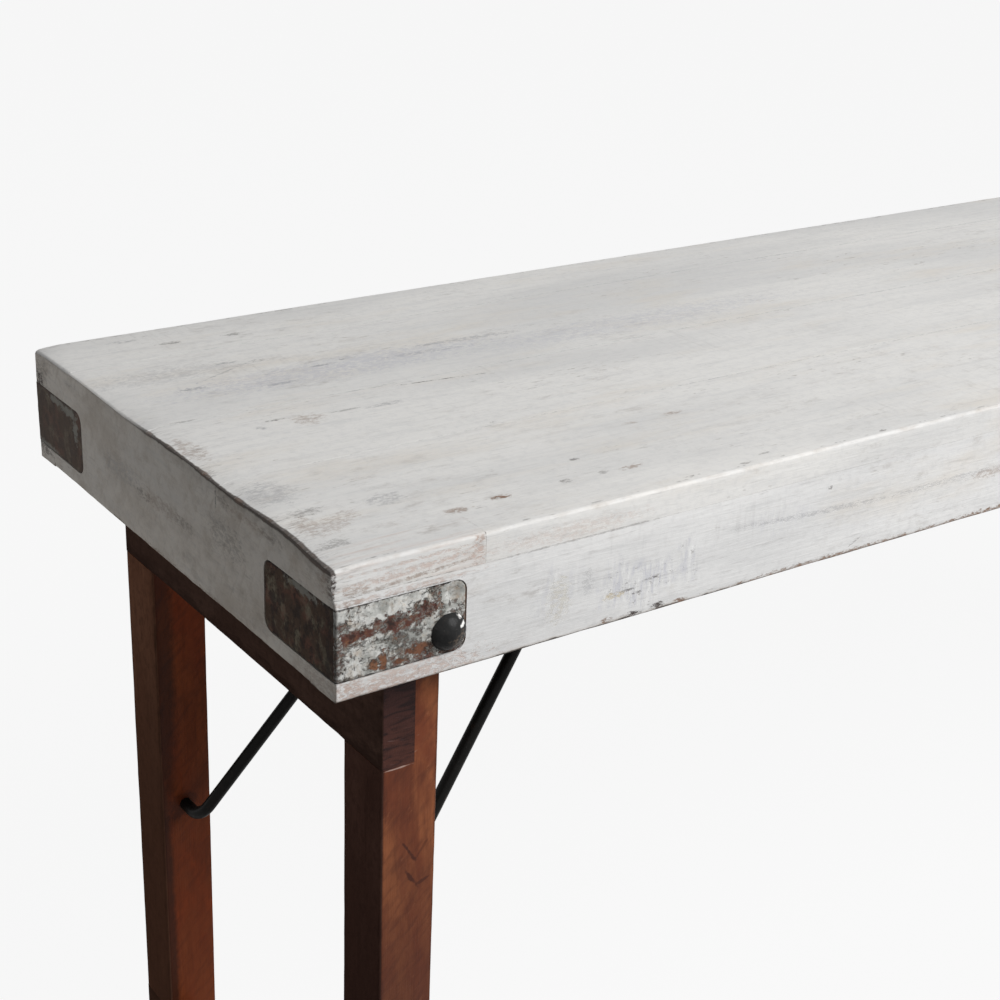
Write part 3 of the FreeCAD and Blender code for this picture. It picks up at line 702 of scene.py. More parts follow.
def by_tone(marks: Sequence[Mark]) -> Iterator[tuple[Tone, list[Mark]]]:
    """Each tone that occurs in marks, with its marks in their order."""
    groups = ((tone, [mark for mark in marks if mark.tone is tone]) for tone in Tone)
    return ((tone, group) for tone, group in groups if group)


@dataclass(frozen=True)
class Face:
    """A face that can be marked: its two directions, its place on the third one, and the depth of its marks.

    Its lengths and those of its marks are millimetres.
    """

    along: Axis
    up: Axis
    level: float
    reach: float
    strength: float = 1.0

    def mark(self, along: float, up: float, length: float, height: float, tone: Tone, strength: float,
             turn: float = 0.0) -> Mark:
        """A mark on this face.

        Args:
            along: its middle's place along the face.
            up: its middle's place up the face.
            length: half its length.
            height: half its height.
            tone: what shows there.
            strength: how much of it shows.
            turn: how far it is turned, in radians.

        Returns:
            The mark.
        """
        place, reach, turns = [self.level * MM] * 3, [self.reach * MM] * 3, [turn] * 3
        for axis, middle, half in ((self.along, along, length), (self.up, up, height)):
            place[axis.value], reach[axis.value], turns[axis.value] = middle * MM, half * MM, 0.0
        return Mark(tuple(place), tuple(reach), tone, self.strength * strength, tuple(turns))

    def marks(self, rows: dict[Tone, Sequence[Sequence[float]]]) -> tuple[Mark, ...]:
        """Marks of each tone on this face, each with its numbers in mark()'s order."""
        return tuple(self.mark(*row[:4], tone, *row[4:]) for tone, group in rows.items() for row in group)


TOP = Face(Axis.X, Axis.Y, TOP_HEIGHT / MM, 4, 1.25)
FRONT = Face(Axis.X, Axis.Z, -HALF_DEPTH / MM, 4)
END = Face(Axis.Y, Axis.Z, -HALF_LENGTH / MM, 5)
LEG_FRONT = Face(Axis.X, Axis.Z, -192.2, 3)
BOLT_HEAD = Face(Axis.X, Axis.Z, -228.5, 4)

TOP_MARKS = TOP.marks({
    Tone.DARK: ((-672, 17, 36, 0.8, 0.55, -0.12), (-755, 183, 9, 3, 0.4), (-769, 117, 6, 2.5, 0.4),
        (-817, 1, 9, 1.6, 0.5), (-691, -74, 2.5, 1.6, 0.5), (-766, -5, 13, 1.3, 0.35),
        (-872, 28, 11, 1.5, 0.3), (-807, 186, 10, 3, 0.4), (-732, 86, 10, 2, 0.35), (-713, 91, 3, 2, 0.4),
        (-710, -184, 5, 3, 0.4), (-683, -157, 4, 2, 0.45), (-680, -184, 4, 2.5, 0.4),
        (-634, -218, 8, 1.4, 0.45), (-589, -218, 5, 1.4, 0.45), (-567, -211, 6, 1.4, 0.4),
        (-464, -220, 4, 1.4, 0.4), (-876, -146, 12, 6, 0.30), (-884, -196, 12, 8, 0.28, 0.3)),
    Tone.GREY: ((-740, 26, 50, 0.7, 0.4, -0.05), (-838, 205, 12, 3, 0.4), (-792, 124, 12, 2, 0.45),
        (-778, 65, 18, 2, 0.5), (-838, 84, 12, 3, 0.5), (-604, 88, 48, 4, 0.38, -0.05),
        (-650, 76, 40, 3, 0.34, -0.05), (-735, -8, 16, 3, 0.4), (-832, -8, 4, 3, 0.45),
        (-824, -152, 13, 9, 0.35), (-796, 109, 33, 0.9, 0.45, 0.43), (-880, -110, 18, 20, 0.30),
        (-840, 120, 60, 16, 0.22), (0, -79, 900, 0.55, 0.42), (0, 27, 900, 0.55, 0.42),
        (0, 159, 900, 0.55, 0.42)),
    Tone.WOOD: ((-796, -8, 12, 10, 0.34), (-761, -185, 7, 3, 0.8), (-795, -189, 10, 4, 0.45),
        (-883, -166, 9, 16, 0.3), (-659, -186, 10, 3, 0.4), (-570, -121, 8, 3, 0.4), (-609, -122, 7, 2, 0.3),
        (-868, -168, 22, 9, 0.26, 0.5), (-890, -20, 8, 22, 0.32)),
    Tone.BLUE: ((-720, 76, 140, 22, 0.30), (-470, 62, 170, 20, 0.22)),
}) + FRONT.marks({
    Tone.DARK: ((-725, 740.3, 77, 0.5, 0.28),),
    Tone.PINK: ((-735, 747, 60, 6, 0.26),),
})
FRONT_MARKS = FRONT.marks({
    Tone.OCHRE: ((-698, 693.6, 9, 2.6, 0.75),),
    Tone.WOOD: ((-703, 677.5, 6, 2.2, 0.8), (-643, 676, 8, 2.2, 0.9), (-350, 708, 22, 4.0, 0.35),
        (-500, 675, 100, 3.0, 0.75), (-340, 674.5, 80, 3.8, 0.85), (-875, 678, 34, 5, 0.35),
        (-893, 681, 9, 8, 0.45), (-890, 737, 9, 2.5, 0.5)),
    Tone.DARK: ((-682, 676.5, 8, 2.2, 0.95), (-661, 677.5, 6, 2.8, 0.85), (-688, 695, 6, 1.1, 0.6),
        (-668, 699, 7, 1.0, 0.6), (-679, 691.5, 5, 1.0, 0.6), (-515, 730, 2.2, 1.6, 0.5),
        (-484, 683, 8, 0.8, 0.4, -0.5), (-844, 681, 0.7, 6, 0.5), (-858, 674.6, 44, 1.8, 0.60),
        (-725, 739.7, 77, 0.5, 0.30), (-854, 735.2, 46, 0.7, 0.55)),
    Tone.GREY: ((-526, 713.5, 78, 2.2, 0.35, 0.055), (-400, 710.5, 60, 2.0, 0.3, -0.01),
        (-720, 708, 5, 9, 0.28)),
    Tone.PINK: ((-858, 680, 62, 9, 0.60), (-852, 736.8, 50, 1.8, 0.55)),
    Tone.CREAM: ((-742, 702, 9, 16, 0.40),),
})
TORN_PLACES = FRONT.marks({
    Tone.BLUE: ((-678, 699, 42, 19, 0.9), (-640, 706, 12, 17, 0.8), (-742, 706, 20, 20, 0.35),
        (-560, 716, 30, 14, 0.3)),
})
END_MARKS = END.marks({
    Tone.WOOD: ((4, 713, 40, 6, 0.34), (-118, 749, 34, 3, 0.32), (-216, 749, 9, 9, 0.45),
        (-207, 681, 24, 7, 0.30), (8, 675.5, 44, 2.5, 0.45), (-60, 675.5, 26, 2.5, 0.40)),
    Tone.DARK: ((36, 711, 12, 4, 0.34), (-30, 713, 13, 5, 0.28), (-88, 726, 24, 12, 0.30),
        (-76, 750, 0.9, 11, 0.55), (-86, 750, 9, 4, 0.32), (-150, 750, 14, 3.5, 0.28),
        (212, 744, 14, 14, 0.30), (217, 737, 11, 11, 0.90), (213, 684, 17, 5, 0.60),
        (-223, 742, 4.5, 24, 0.55)),
    Tone.GREY: ((70, 716, 30, 9, 0.30),),
})
PATCH_MARKS = FRONT.marks({
    Tone.PINK: ((-846, 748.5, 58, 3.0, 0.55, -0.05), (-848, 754, 50, 1.2, 0.5, -0.02),
        (-804, 750, 5, 12, 0.7)),
    Tone.WOOD: ((-852, 743, 50, 1.5, 0.5, -0.06), (-888, 744, 12, 3.0, 0.5), (-802, 757, 3, 3, 0.5)),
    Tone.DARK: ((-901.8, 750, 2.0, 14, 1.0), (-850, 740.3, 52, 0.6, 0.4)),
})
PLANKS = ("plank_front", "plank_front_middle", "plank_back_middle", "plank_back")


def plank_paint(node: str) -> Material:
    """The paint of one plank, with the marks that reach it.

    Args:
        node: the plank's node.

    Returns:
        The material.
    """
    low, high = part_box(node)
    near = []
    for mark in TOP_MARKS:
        middle, reach = mark.place[1], FRAYED_REACH * mark.reach[1]
        if low[1] < middle + reach and middle - reach < high[1]:
            near.append(mark)
    return Whitewash(f"whitewashed_{node}", Axis.X, marks=tuple(near)).build()


@dataclass(frozen=True)
class Grained:
    """A finish that runs along the grain."""

    name: str
    grain: Axis

    def fibres(self, tree: Tree, along: float, across: float, *words: float) -> Socket:
        """Noise with its lumps per metre along and across the grain, and noise()'s other values."""
        return tree.noise(tuple(along if axis is self.grain else across for axis in Axis), *words)


@dataclass(frozen=True)
class Whitewash(Grained):
    """Thin white paint, brushed along the grain and rubbed through on the edges of the top's block."""

    paint: Colour = (0.760, 0.750, 0.730)
    shade: Colour = (0.560, 0.560, 0.560)
    cream: Colour = (0.68, 0.63, 0.56)
    hair: Colour = (0.30, 0.285, 0.275)
    dust: Colour = (0.34, 0.31, 0.285)
    wood: Colour = (0.22, 0.140, 0.100)
    deep: Colour = (0.045, 0.034, 0.029)
    stain: Colour = (0.37, 0.305, 0.240)
    lime: Colour = (0.86, 0.86, 0.86)
    pink: float = 0.0
    stains: float = 0.0
    marks: tuple[Mark, ...] = ()
    torn_places: tuple[Mark, ...] = ()
    dotted_line: float = 4.2 * MM

    def brushed(self, tree: Tree) -> Socket:
        """The paint's own colour: streaks, warm and grey places, hair lines and saw marks.

        Args:
            tree: the material's nodes.

        Returns:
            The colour.
        """
        broad = self.fibres(tree, 2.6, 13.0, 3.1, 4.0)
        colour = tree.lay(self.paint, self.shade, broad, 0.38, 0.70, 0.5)
        streaks = self.fibres(tree, 14.0, 120.0, 7.7, 7.0, 0.72)
        colour = tree.lay(colour, self.shade, streaks, 0.46, 0.74, 0.48)
        warm = self.fibres(tree, 6.0, 26.0, 1.9, 5.0, 0.6)
        colour = tree.lay(colour, self.cream, warm, 0.50, 0.76, 0.55)
        mottle = tree.noise(190.0, 4.4, 4.0, 0.65)
        colour = tree.lay(colour, self.shade, mottle, 0.44, 0.72, 0.30)
        hairs = self.fibres(tree, 34.0, 500.0, 2.3, 4.0, 0.65)
        colour = tree.lay(colour, self.hair, hairs, 0.56, 0.76, 0.30)
        dirt = self.fibres(tree, 34.0, 85.0, 10.3, 8.0, 0.76)
        lying = self.fibres(tree, 5.0, 9.0, 14.2, 3.0)
        near_end = tree.band(tree.absolute(tree.x), 560.0 * MM, 880.0 * MM, 0.30)
        lies = tree.plus(tree.band(lying, 0.44, 0.64, 0.42), tree.times(near_end, tree.band(lying, 0.30, 0.60)))
        dirty = tree.times(tree.band(dirt, 0.50, 0.72), lies)
        colour = tree.mix(dirty, colour, self.dust)
        patches = self.fibres(tree, 5.0, 11.0, 8.4, 3.0)
        sawn = self.fibres(tree, 260.0, 24.0, 4.1, 4.0, 0.65)
        saw = tree.times(tree.band(sawn, 0.52, 0.74), tree.band(patches, 0.52, 0.70, 0.20))
        return tree.mix(saw, colour, self.hair)

    @staticmethod
    def to_front(tree: Tree) -> Socket:
        """A rise from 0.15 at the back of the table to 1 at its front."""
        return tree.line(tree.band(tree.y, 75.0 * MM, 5.0 * MM), 0.85, 0.15)

    def edge_wear(self, tree: Tree) -> Socket:
        """How rubbed the paint is by its nearness to the block's edges.

        Args:
            tree: the material's nodes.

        Returns:
            The closeness, from 0 to 1.
        """
        past_end = tree.within(HALF_LENGTH, tree.x)
        past_side = tree.within(HALF_DEPTH, tree.y)
        below_top = tree.minus(TOP_HEIGHT, tree.z)
        above_bottom = tree.minus(tree.z, BOTTOM_HEIGHT)
        below_flare = tree.band(tree.z, 746.0 * MM, 736.0 * MM)
        return tree.highest([
            tree.times(tree.band(tree.attribute("end_edge"), 0.55, 1.0, 0.55), self.to_front(tree)),
            tree.edge(past_side, below_top, 5.0 * MM, 0.40),
            tree.times(tree.edge(past_end, past_side, 2.6 * MM, 0.75), below_flare),
            tree.edge(past_side, above_bottom, 5.0 * MM, 0.85),
            tree.edge(past_end, above_bottom, 5.0 * MM, 0.75)])

    def build(self) -> Material:
        """Lay down the paint's layers.

        Returns:
            The material.
        """
        tree = Tree(self.name)
        colour = self.brushed(tree)
        fine = self.fibres(tree, 30.0, 480.0, 12.6, 4.0, 0.65)
        if self.pink:
            blush = self.fibres(tree, 14.0, 190.0, 5.3, 5.0, 0.65)
            colour = tree.lay(colour, Tone.PINK.value, blush, 0.46, 0.70, self.pink)
        if self.stains:
            soaked = tree.noise((16.0, 16.0, 22.0), 6.9, 6.0, 0.62)
            colour = tree.lay(colour, self.stain, soaked, 0.42, 0.72, self.stains)
            clouds = tree.noise((60.0, 60.0, 80.0), 9.9, 7.0, 0.72)
            colour = tree.lay(colour, self.stain, clouds, 0.44, 0.70, 0.8 * self.stains)
            high = tree.times(tree.band(tree.z, TOP_HEIGHT - 16.0 * MM, TOP_HEIGHT - 1.0 * MM),
                              tree.band(tree.y, 40.0 * MM, -60.0 * MM))
            smear = tree.times(high, tree.band(clouds, 0.22, 0.78, 0.9 * self.stains))
            colour = tree.mix(smear, colour, self.deep)
            chatter = tree.noise((40.0, 210.0, 40.0), 15.7, 4.0, 0.6, turn=(0.5, 0.0, 0.0))
            colour = tree.lay(colour, self.stain, chatter, 0.52, 0.72, 0.5 * self.stains)
        dashes = self.fibres(tree, 90.0, 420.0, 6.6, 3.0, 0.6)
        sparse = self.fibres(tree, 7.0, 16.0, 9.2, 3.0)
        worn_dash = tree.times(tree.band(dashes, 0.61, 0.72), tree.band(sparse, 0.48, 0.64, 0.6))
        colour = tree.mix(worn_dash, colour, self.dust)
        wear = self.edge_wear(tree)
        smudge = tree.noise((38.0, 38.0, 60.0), 0.7, 5.0, 0.65)
        torn = tree.plus(wear, tree.swing(smudge, 1.7))
        torn = tree.plus(torn, tree.swing(fine, 0.5))
        stained = tree.band(torn, 0.15, 0.80, 0.45)
        colour = tree.mix(stained, colour, self.stain)
        rubbed = tree.band(torn, 0.56, 0.88, 0.92)
        timber = tree.lay(self.deep, self.wood, smudge, 0.54, 0.80)
        colour = tree.mix(rubbed, colour, timber)
        frayed_edge = tree.swing(smudge, 0.5)
        frayed_edge = tree.plus(frayed_edge, tree.band(tree.y, -70.0 * MM, -190.0 * MM, 0.10))
        bare_edge = tree.band(tree.plus(tree.attribute("end_edge"), frayed_edge), 0.69, 0.83, 0.92)
        inside = tree.within(HALF_DEPTH, tree.y)
        bare_edge = tree.times(bare_edge, self.to_front(tree), tree.band(inside, 0.15 * MM, 0.7 * MM))
        colour = tree.mix(bare_edge, colour, timber)
        if self.grain is Axis.X:
            inward = tree.within(HALF_LENGTH, tree.x)
            splinters = self.fibres(tree, 55.0, 420.0, 26.1, 5.0, 0.7)
            split = tree.times(tree.band(splinters, 0.50, 0.64, 0.7), tree.band(inward, 34.0 * MM, 3.0 * MM),
                               tree.band(smudge, 0.40, 0.62), self.to_front(tree))
            colour = tree.mix(split, colour, self.hair)
        off_line = tree.absolute(tree.minus(inside, self.dotted_line))
        broken_line = self.fibres(tree, 75.0, 30.0, 16.4, 3.0, 0.6)
        dots = tree.times(tree.band(off_line, 0.9 * MM, 0.2 * MM), tree.band(broken_line, 0.54, 0.66, 0.6))
        colour = tree.mix(dots, colour, self.deep)
        scuffs = []
        if self.torn_places:
            blurred = tree.swing(smudge, 2.4)
            zone = tree.spots(self.torn_places, blurred)
            strokes = tree.noise((260.0, 260.0, 55.0), 17.3, 6.0, 0.72)
            flecks = tree.noise((240.0, 240.0, 420.0), 19.1, 5.0, 0.7)
            colour = tree.mix(tree.times(zone, tree.band(strokes, 0.46, 0.62, 0.55)), colour, Tone.BLUE.value)
            colour = tree.mix(tree.times(zone, tree.band(strokes, 0.46, 0.36, 0.65)), colour, self.lime)
            flecked = tree.times(zone, tree.band(flecks, 0.58, 0.68, 0.7))
            colour = tree.mix(flecked, colour, self.hair)
            scuffs.append(flecked)
        if self.marks:
            frayed = tree.swing(self.fibres(tree, 190.0, 400.0, 11.0, 6.0, 0.76), 3.6)
            broken = tree.band(self.fibres(tree, 170.0, 360.0, 13.0, 6.0, 0.80), 0.41, 0.57, 1.2)
            for tone, group in by_tone(self.marks):
                together = tree.times(tree.spots(group, frayed), broken)
                colour = tree.mix(together, colour, tone.value)
                scuffs.append(together)
        bare = tree.highest([rubbed, bare_edge, worn_dash] + scuffs)
        roughness = tree.line(bare, 0.2, 0.60)
        normal = tree.bump(fine, 0.30 * MM)
        normal = tree.bump(tree.minus(1.0, bare), 0.15 * MM, normal)
        return tree.finish(colour, roughness, normal, gloss=0.28)


def strap_places(*rows: Sequence[float]) -> tuple[Mark, ...]:
    """Rusty places of the near strap: millimetres from the table's end and the strap's lower edge."""
    return tuple(FRONT.mark(-900 + run, 687 + up, length, height, Tone.WOOD, *strength or (1.0,))
                 for run, up, length, height, *strength in rows)


RED_PLACES = strap_places((12, 28, 17, 5), (36, 30, 15, 6, 0.8), (61, 34, 13, 5, 0.9), (52, 29, 10, 4, 0.7),
        (6, 36, 5, 5, 0.5))
ORANGE_PLACES = strap_places((32, 9, 3.4, 7.5), (25, 6, 4, 4), (45, 4, 9, 2.5, 0.6), (57, 9, 10, 4, 0.7),
        (70.5, 36, 2.2, 8, 0.6))
GREY_PLACES = strap_places((42, 20, 21, 5, 0.9), (73, 40, 3, 5, 0.6), (27, 40, 8, 3, 0.6),
        (78, 31, 9, 1.5, 0.7))
LIMED_PLACES = END.marks({Tone.GREY: ((184, 730.5, 14, 3.0, 0.85), (163, 729, 16, 4.2, 0.9),
        (150, 719, 4.4, 12, 0.85), (206, 687, 22, 3.6, 0.75), (-186, 731.5, 20, 3.0, 0.8))})
WHITE_PLACES = strap_places((80, 38, 11, 9), (40, 43, 24, 3.5), (12, 11, 12, 9, 0.8), (12, 41, 12, 5, 0.6))


@dataclass(frozen=True)
class StrapIron:
    """Old paint flaking off rusty flat iron."""

    name: str = "strap_iron"
    paint: Colour = (0.64, 0.64, 0.615)
    grey: Colour = (0.29, 0.295, 0.275)
    rust: Colour = (0.108, 0.046, 0.036)
    orange: Colour = (0.23, 0.110, 0.060)
    pit: Colour = (0.030, 0.024, 0.022)
    tan: Colour = (0.36, 0.27, 0.19)
    moss: Colour = (0.30, 0.295, 0.25)
    brown: Colour = (0.105, 0.070, 0.051)
    green: Colour = (0.330, 0.290, 0.215)
    red: Colour = (0.235, 0.112, 0.085)
    lime: Colour = (0.42, 0.41, 0.37)
    dusk: Colour = (0.212, 0.174, 0.152)
    long_side: float = 221.0 * MM
    end_reach: float = 139.0 * MM
    lower_edge: float = 687.0 * MM
    upper_edge: float = 734.0 * MM
    long_end: float = 811.0 * MM

    def sheltered(self, tree: Tree, frayed: Socket, to_rim: Socket) -> Socket:
        """The end arms' colour: soot, rust, grey-green blotches and painted shade by the corners, with lime
        left along the rim.

        Args:
            tree: the material's nodes.
            frayed: a noise round 0 that frays outlines.
            to_rim: the distance to the strap's upper or lower edge.

        Returns:
            The colour.
        """
        blotches = tree.noise((70.0, 70.0, 60.0), 8.8, 6.0, 0.66)
        colour = tree.lay(self.brown, self.green, blotches, 0.48, 0.64, 0.8)
        flushed = tree.noise((48.0, 48.0, 62.0), 22.6, 5.0, 0.62)
        colour = tree.lay(colour, self.red, flushed, 0.50, 0.62, 0.55)
        sooty = tree.noise((105.0, 105.0, 85.0), 23.9, 6.0, 0.68)
        colour = tree.lay(colour, self.pit, sooty, 0.47, 0.59, 0.78)
        from_middle = tree.absolute(tree.y)
        # Darker towards the table's corners, where the strap bends round: painted shade
        colour = tree.lay(colour, self.pit, from_middle, HALF_DEPTH - 24.0 * MM, HALF_DEPTH, 0.6)
        rim = tree.math("MINIMUM", to_rim, tree.minus(from_middle, self.end_reach))
        eaten = tree.plus(tree.band(rim, 4.0 * MM, 0.0, 0.8), tree.swing(sooty, 1.8))
        colour = tree.lay(colour, self.pit, eaten, 0.50, 0.80, 0.85)
        limed = tree.spots(LIMED_PLACES, frayed)
        colour = tree.lay(colour, self.dusk, tree.y, 100.0 * MM, 160.0 * MM, 0.5)
        return tree.mix(limed, colour, self.lime)

    def build(self) -> Material:
        """Lay down iron, rust and what is left of the paint.

        Returns:
            The material.
        """
        tree = Tree(self.name)
        on_end = tree.band(tree.absolute(tree.y), self.long_side + 1.5 * MM, self.long_side + 0.5 * MM)
        frayed = tree.swing(tree.noise((210.0, 210.0, 260.0), 11.0, 5.0, 0.7), 3.2)
        red, orange, grey, white = (tree.spots(places, frayed)
                                    for places in (RED_PLACES, ORANGE_PLACES, GREY_PLACES, WHITE_PLACES))
        height = tree.band(tree.z, self.lower_edge + 6.0 * MM, self.upper_edge - 4.0 * MM)
        islands = tree.noise((210.0, 210.0, 250.0), 3.7, 10.0, 0.80, 0.3)
        lie = tree.noise((38.0, 38.0, 52.0), 1.2, 4.0)
        cover = tree.plus(tree.times(islands, 1.0), tree.times(lie, 0.5))
        cover = tree.plus(cover, tree.times(height, 0.08))
        cover = tree.minus(cover, tree.times(on_end, 0.24))
        cover = tree.minus(cover, tree.times(tree.highest([red, orange]), 0.20))
        cover = tree.plus(cover, tree.times(white, 0.09))
        filmed = tree.band(cover, 0.62, 0.74)
        painted = tree.band(cover, 0.71, 0.80)
        tint = tree.noise((75.0, 75.0, 60.0), 6.1, 6.0, 0.7)
        paint = tree.lay(self.paint, self.grey, tint, 0.42, 0.62, 0.85)
        browned = tree.noise(170.0, 9.4, 8.0, 0.76)
        paint = tree.lay(paint, self.tan, browned, 0.46, 0.70, 0.65)
        paint = tree.mix(tree.times(grey, 0.85), paint, self.grey)
        rust = tree.lay(self.rust, self.orange, browned, 0.50, 0.72)
        rust = tree.mix(tree.times(orange, 0.8), rust, self.orange)
        dark = tree.noise((120.0, 120.0, 170.0), 5.5, 7.0, 0.72)
        rust = tree.lay(rust, self.pit, dark, 0.48, 0.62, 0.85)
        film = tree.lay(self.grey, self.moss, browned, 0.40, 0.66)
        colour = tree.mix(tree.times(filmed, 0.55), rust, film)
        colour = tree.mix(painted, colour, paint)
        specks = tree.noise(420.0, 2.8, 4.0, 0.7)
        pitted = tree.times(tree.band(specks, 0.54, 0.66, 0.80), tree.line(painted, -0.45, 1.0))
        colour = tree.mix(pitted, colour, self.pit)
        to_rim = tree.math("MINIMUM", tree.minus(tree.z, self.lower_edge),
                           tree.minus(self.upper_edge, tree.z))
        rim = tree.plus(tree.band(to_rim, 3.0 * MM, 0.0, 0.75), tree.swing(dark, 1.8))
        colour = tree.lay(colour, self.pit, rim, 0.50, 0.80, 0.9)
        to_end = tree.minus(tree.absolute(tree.x), self.long_end)
        bleed = tree.plus(tree.band(to_end, 2.6 * MM, 0.4 * MM, 0.8), tree.swing(dark, 1.4))
        colour = tree.lay(colour, self.orange, bleed, 0.55, 0.85, 0.85)
        sheltered = self.sheltered(tree, frayed, to_rim)
        colour = tree.mix(tree.times(on_end, 0.96), colour, sheltered)
        past_end = tree.within(HALF_LENGTH, tree.x)
        past_side = tree.within(HALF_DEPTH, tree.y)
        colour = tree.mix(tree.edge(past_end, past_side, 2.0 * MM, 0.9), colour, self.pit)
        roughness = tree.line(painted, -0.2, 0.82)
        normal = tree.bump(tree.plus(painted, tree.times(dark, 0.9)), 0.45 * MM)
        normal = tree.bump(specks, 0.25 * MM, normal)
        return tree.finish(colour, roughness, normal, gloss=0.08)


LEG_MARKS = LEG_FRONT.marks({
    Tone.DARK: ((-828, 531, 14, 1.5, 1.0, 1.02), (-817, 529, 8, 1.2, 0.5, -0.9),
                (-825.5, 509, 10, 1.5, 1.0, 1.0), (-816, 504, 9, 1.3, 0.8, -0.3)),
    Tone.PINK: ((-836.6, 594.6, 11, 0.5, 0.55),),
}) + tuple(
    Face(Axis.X, Axis.Z, y, 3).mark(x, 382, 15, 14, Tone.DARK, 0.8)
    for x in (-829, 829) for y in (-144.2, 144.2)
) + tuple(
    # Painted shadow: dark strips down the back legs' front faces, beside their outer edges, where the rails
    # shade them
    Face(Axis.X, Axis.Z, 144.2, 3).mark(side.value * x, z, width, height, Tone.SOOT, 0.70)
    for side in Side for x, z, width, height in ((845, 520, 14, 170), (847, 220, 8, 300)))


@dataclass(frozen=True)
class StainedWood(Grained):
    """Red-brown stained timber, rubbed and scratched."""

    light: Colour = (0.296, 0.102, 0.043)
    mid: Colour = (0.162, 0.046, 0.022)
    dark: Colour = (0.062, 0.020, 0.013)
    scratch: Colour = (0.34, 0.22, 0.16)
    gloss: float = 0.10
    fleck: Colour = (0.33, 0.130, 0.066)
    marks: tuple[Mark, ...] = ()

    def build(self) -> Material:
        """Lay down stain, grain and rubbed places.

        Returns:
            The material.
        """
        tree = Tree(self.name)
        blotch = self.fibres(tree, 9.0, 34.0, 2.9, 5.0, 0.6, 0.5)
        colour = tree.lay(self.mid, self.light, blotch, 0.38, 0.62)
        figure = self.fibres(tree, 12.0, 130.0, 6.3, 5.0, 0.62, 0.5)
        colour = tree.lay(colour, self.dark, figure, 0.48, 0.78, 0.5)
        aslant = tree.noise((190.0, 190.0, 42.0), 5.1, 4.0, 0.65, turn=(0.0, 0.75, 0.0))
        colour = tree.lay(colour, self.dark, aslant, 0.44, 0.70, 0.45)
        flecks = tree.noise((260.0, 260.0, 110.0), 31.7, 4.0, 0.7, turn=(0.0, 0.75, 0.0))
        colour = tree.lay(colour, self.fleck, flecks, 0.58, 0.74, 0.45)
        pores = self.fibres(tree, 60.0, 800.0, 1.4, 3.0, 0.6)
        colour = tree.lay(colour, self.dark, pores, 0.56, 0.76, 0.35)
        cloud = self.fibres(tree, 12.0, 20.0, 8.8, 5.0, 0.62)
        colour = tree.lay(colour, self.dark, cloud, 0.50, 0.74, 0.5)
        wear = tree.attribute("wear")
        ragged = self.fibres(tree, 30.0, 120.0, 4.2, 5.0, 0.6)
        torn = tree.plus(wear, tree.swing(ragged, 1.4))
        colour = tree.lay(colour, self.dark, torn, 0.55, 0.95, 0.75)
        nicks = tree.noise((420.0, 420.0, 90.0), 3.3, 3.0, 0.5, turn=(0.0, 1.1, 0.0))
        thin = tree.noise((22.0, 22.0, 14.0), 7.1, 3.0)
        scratched = tree.times(tree.band(nicks, 0.68, 0.76), tree.band(thin, 0.56, 0.68, 0.35))
        colour = tree.mix(scratched, colour, self.scratch)
        low = tree.times(tree.band(tree.z, 0.62, 0.38), tree.band(blotch, 0.05, 0.55, 0.74))
        colour = tree.mix(low, colour, self.dark)
        if self.marks:
            frayed = tree.swing(tree.noise(150.0, 11.0, 4.0, 0.6), 2.4)
            # Marks of painted shadow get softer outlines than the others
            soft = tree.times(frayed, 0.2)
            for tone, group in by_tone(self.marks):
                shown = tree.spots(group, soft if tone is Tone.SOOT else frayed)
                colour = tree.mix(shown, colour, self.dark if tone is Tone.DARK else tone.value)
        roughness = tree.line(figure, 0.25, 0.34)
        normal = tree.bump(pores, 0.15 * MM)
        normal = tree.bump(tree.plus(figure, tree.times(scratched, -1.0)), 0.2 * MM, normal)
        return tree.finish(colour, roughness, normal, gloss=self.gloss)


@dataclass(frozen=True)
class EndGrain:
    """The dark, close-ringed ends of stained rails."""

    name: str = "stained_end_grain"
    light: Colour = (0.045, 0.020, 0.018)
    dark: Colour = (0.016, 0.008, 0.008)
    red: Colour = (0.085, 0.031, 0.021)
    scratch: Colour = (0.16, 0.10, 0.095)

    def build(self) -> Material:
        """Lay down the end grain's rings and scratches.

        Returns:
            The material.
        """
        tree = Tree(self.name)
        rings = tree.noise((60.0, 60.0, 260.0), 1.1, 4.0, 0.6, 0.8)
        colour = tree.lay(self.dark, self.light, rings, 0.38, 0.64)
        pores = tree.noise(900.0, 2.2, 1.0)
        colour = tree.lay(colour, self.dark, pores, 0.60, 0.72, 0.6)
        # Redder towards the bottom, which leaves the top under the apron darker: partly the wood's own colour,
        # partly painted shade
        warm = tree.band(tree.z, 0.655, 0.600, 0.55)
        colour = tree.mix(tree.times(warm, tree.band(rings, 0.30, 0.60)), colour, self.red)
        strokes = tree.noise((40.0, 40.0, 460.0), 5.4, 4.0, 0.55, turn=(0.0, 0.25, 0.0))
        scratched = tree.band(strokes, 0.64, 0.74, 0.6)
        colour = tree.mix(scratched, colour, self.scratch)
        normal = tree.bump(tree.plus(rings, pores), 0.25 * MM)
        return tree.finish(colour, tree.line(rings, 0.2, 0.42), normal, gloss=0.1)


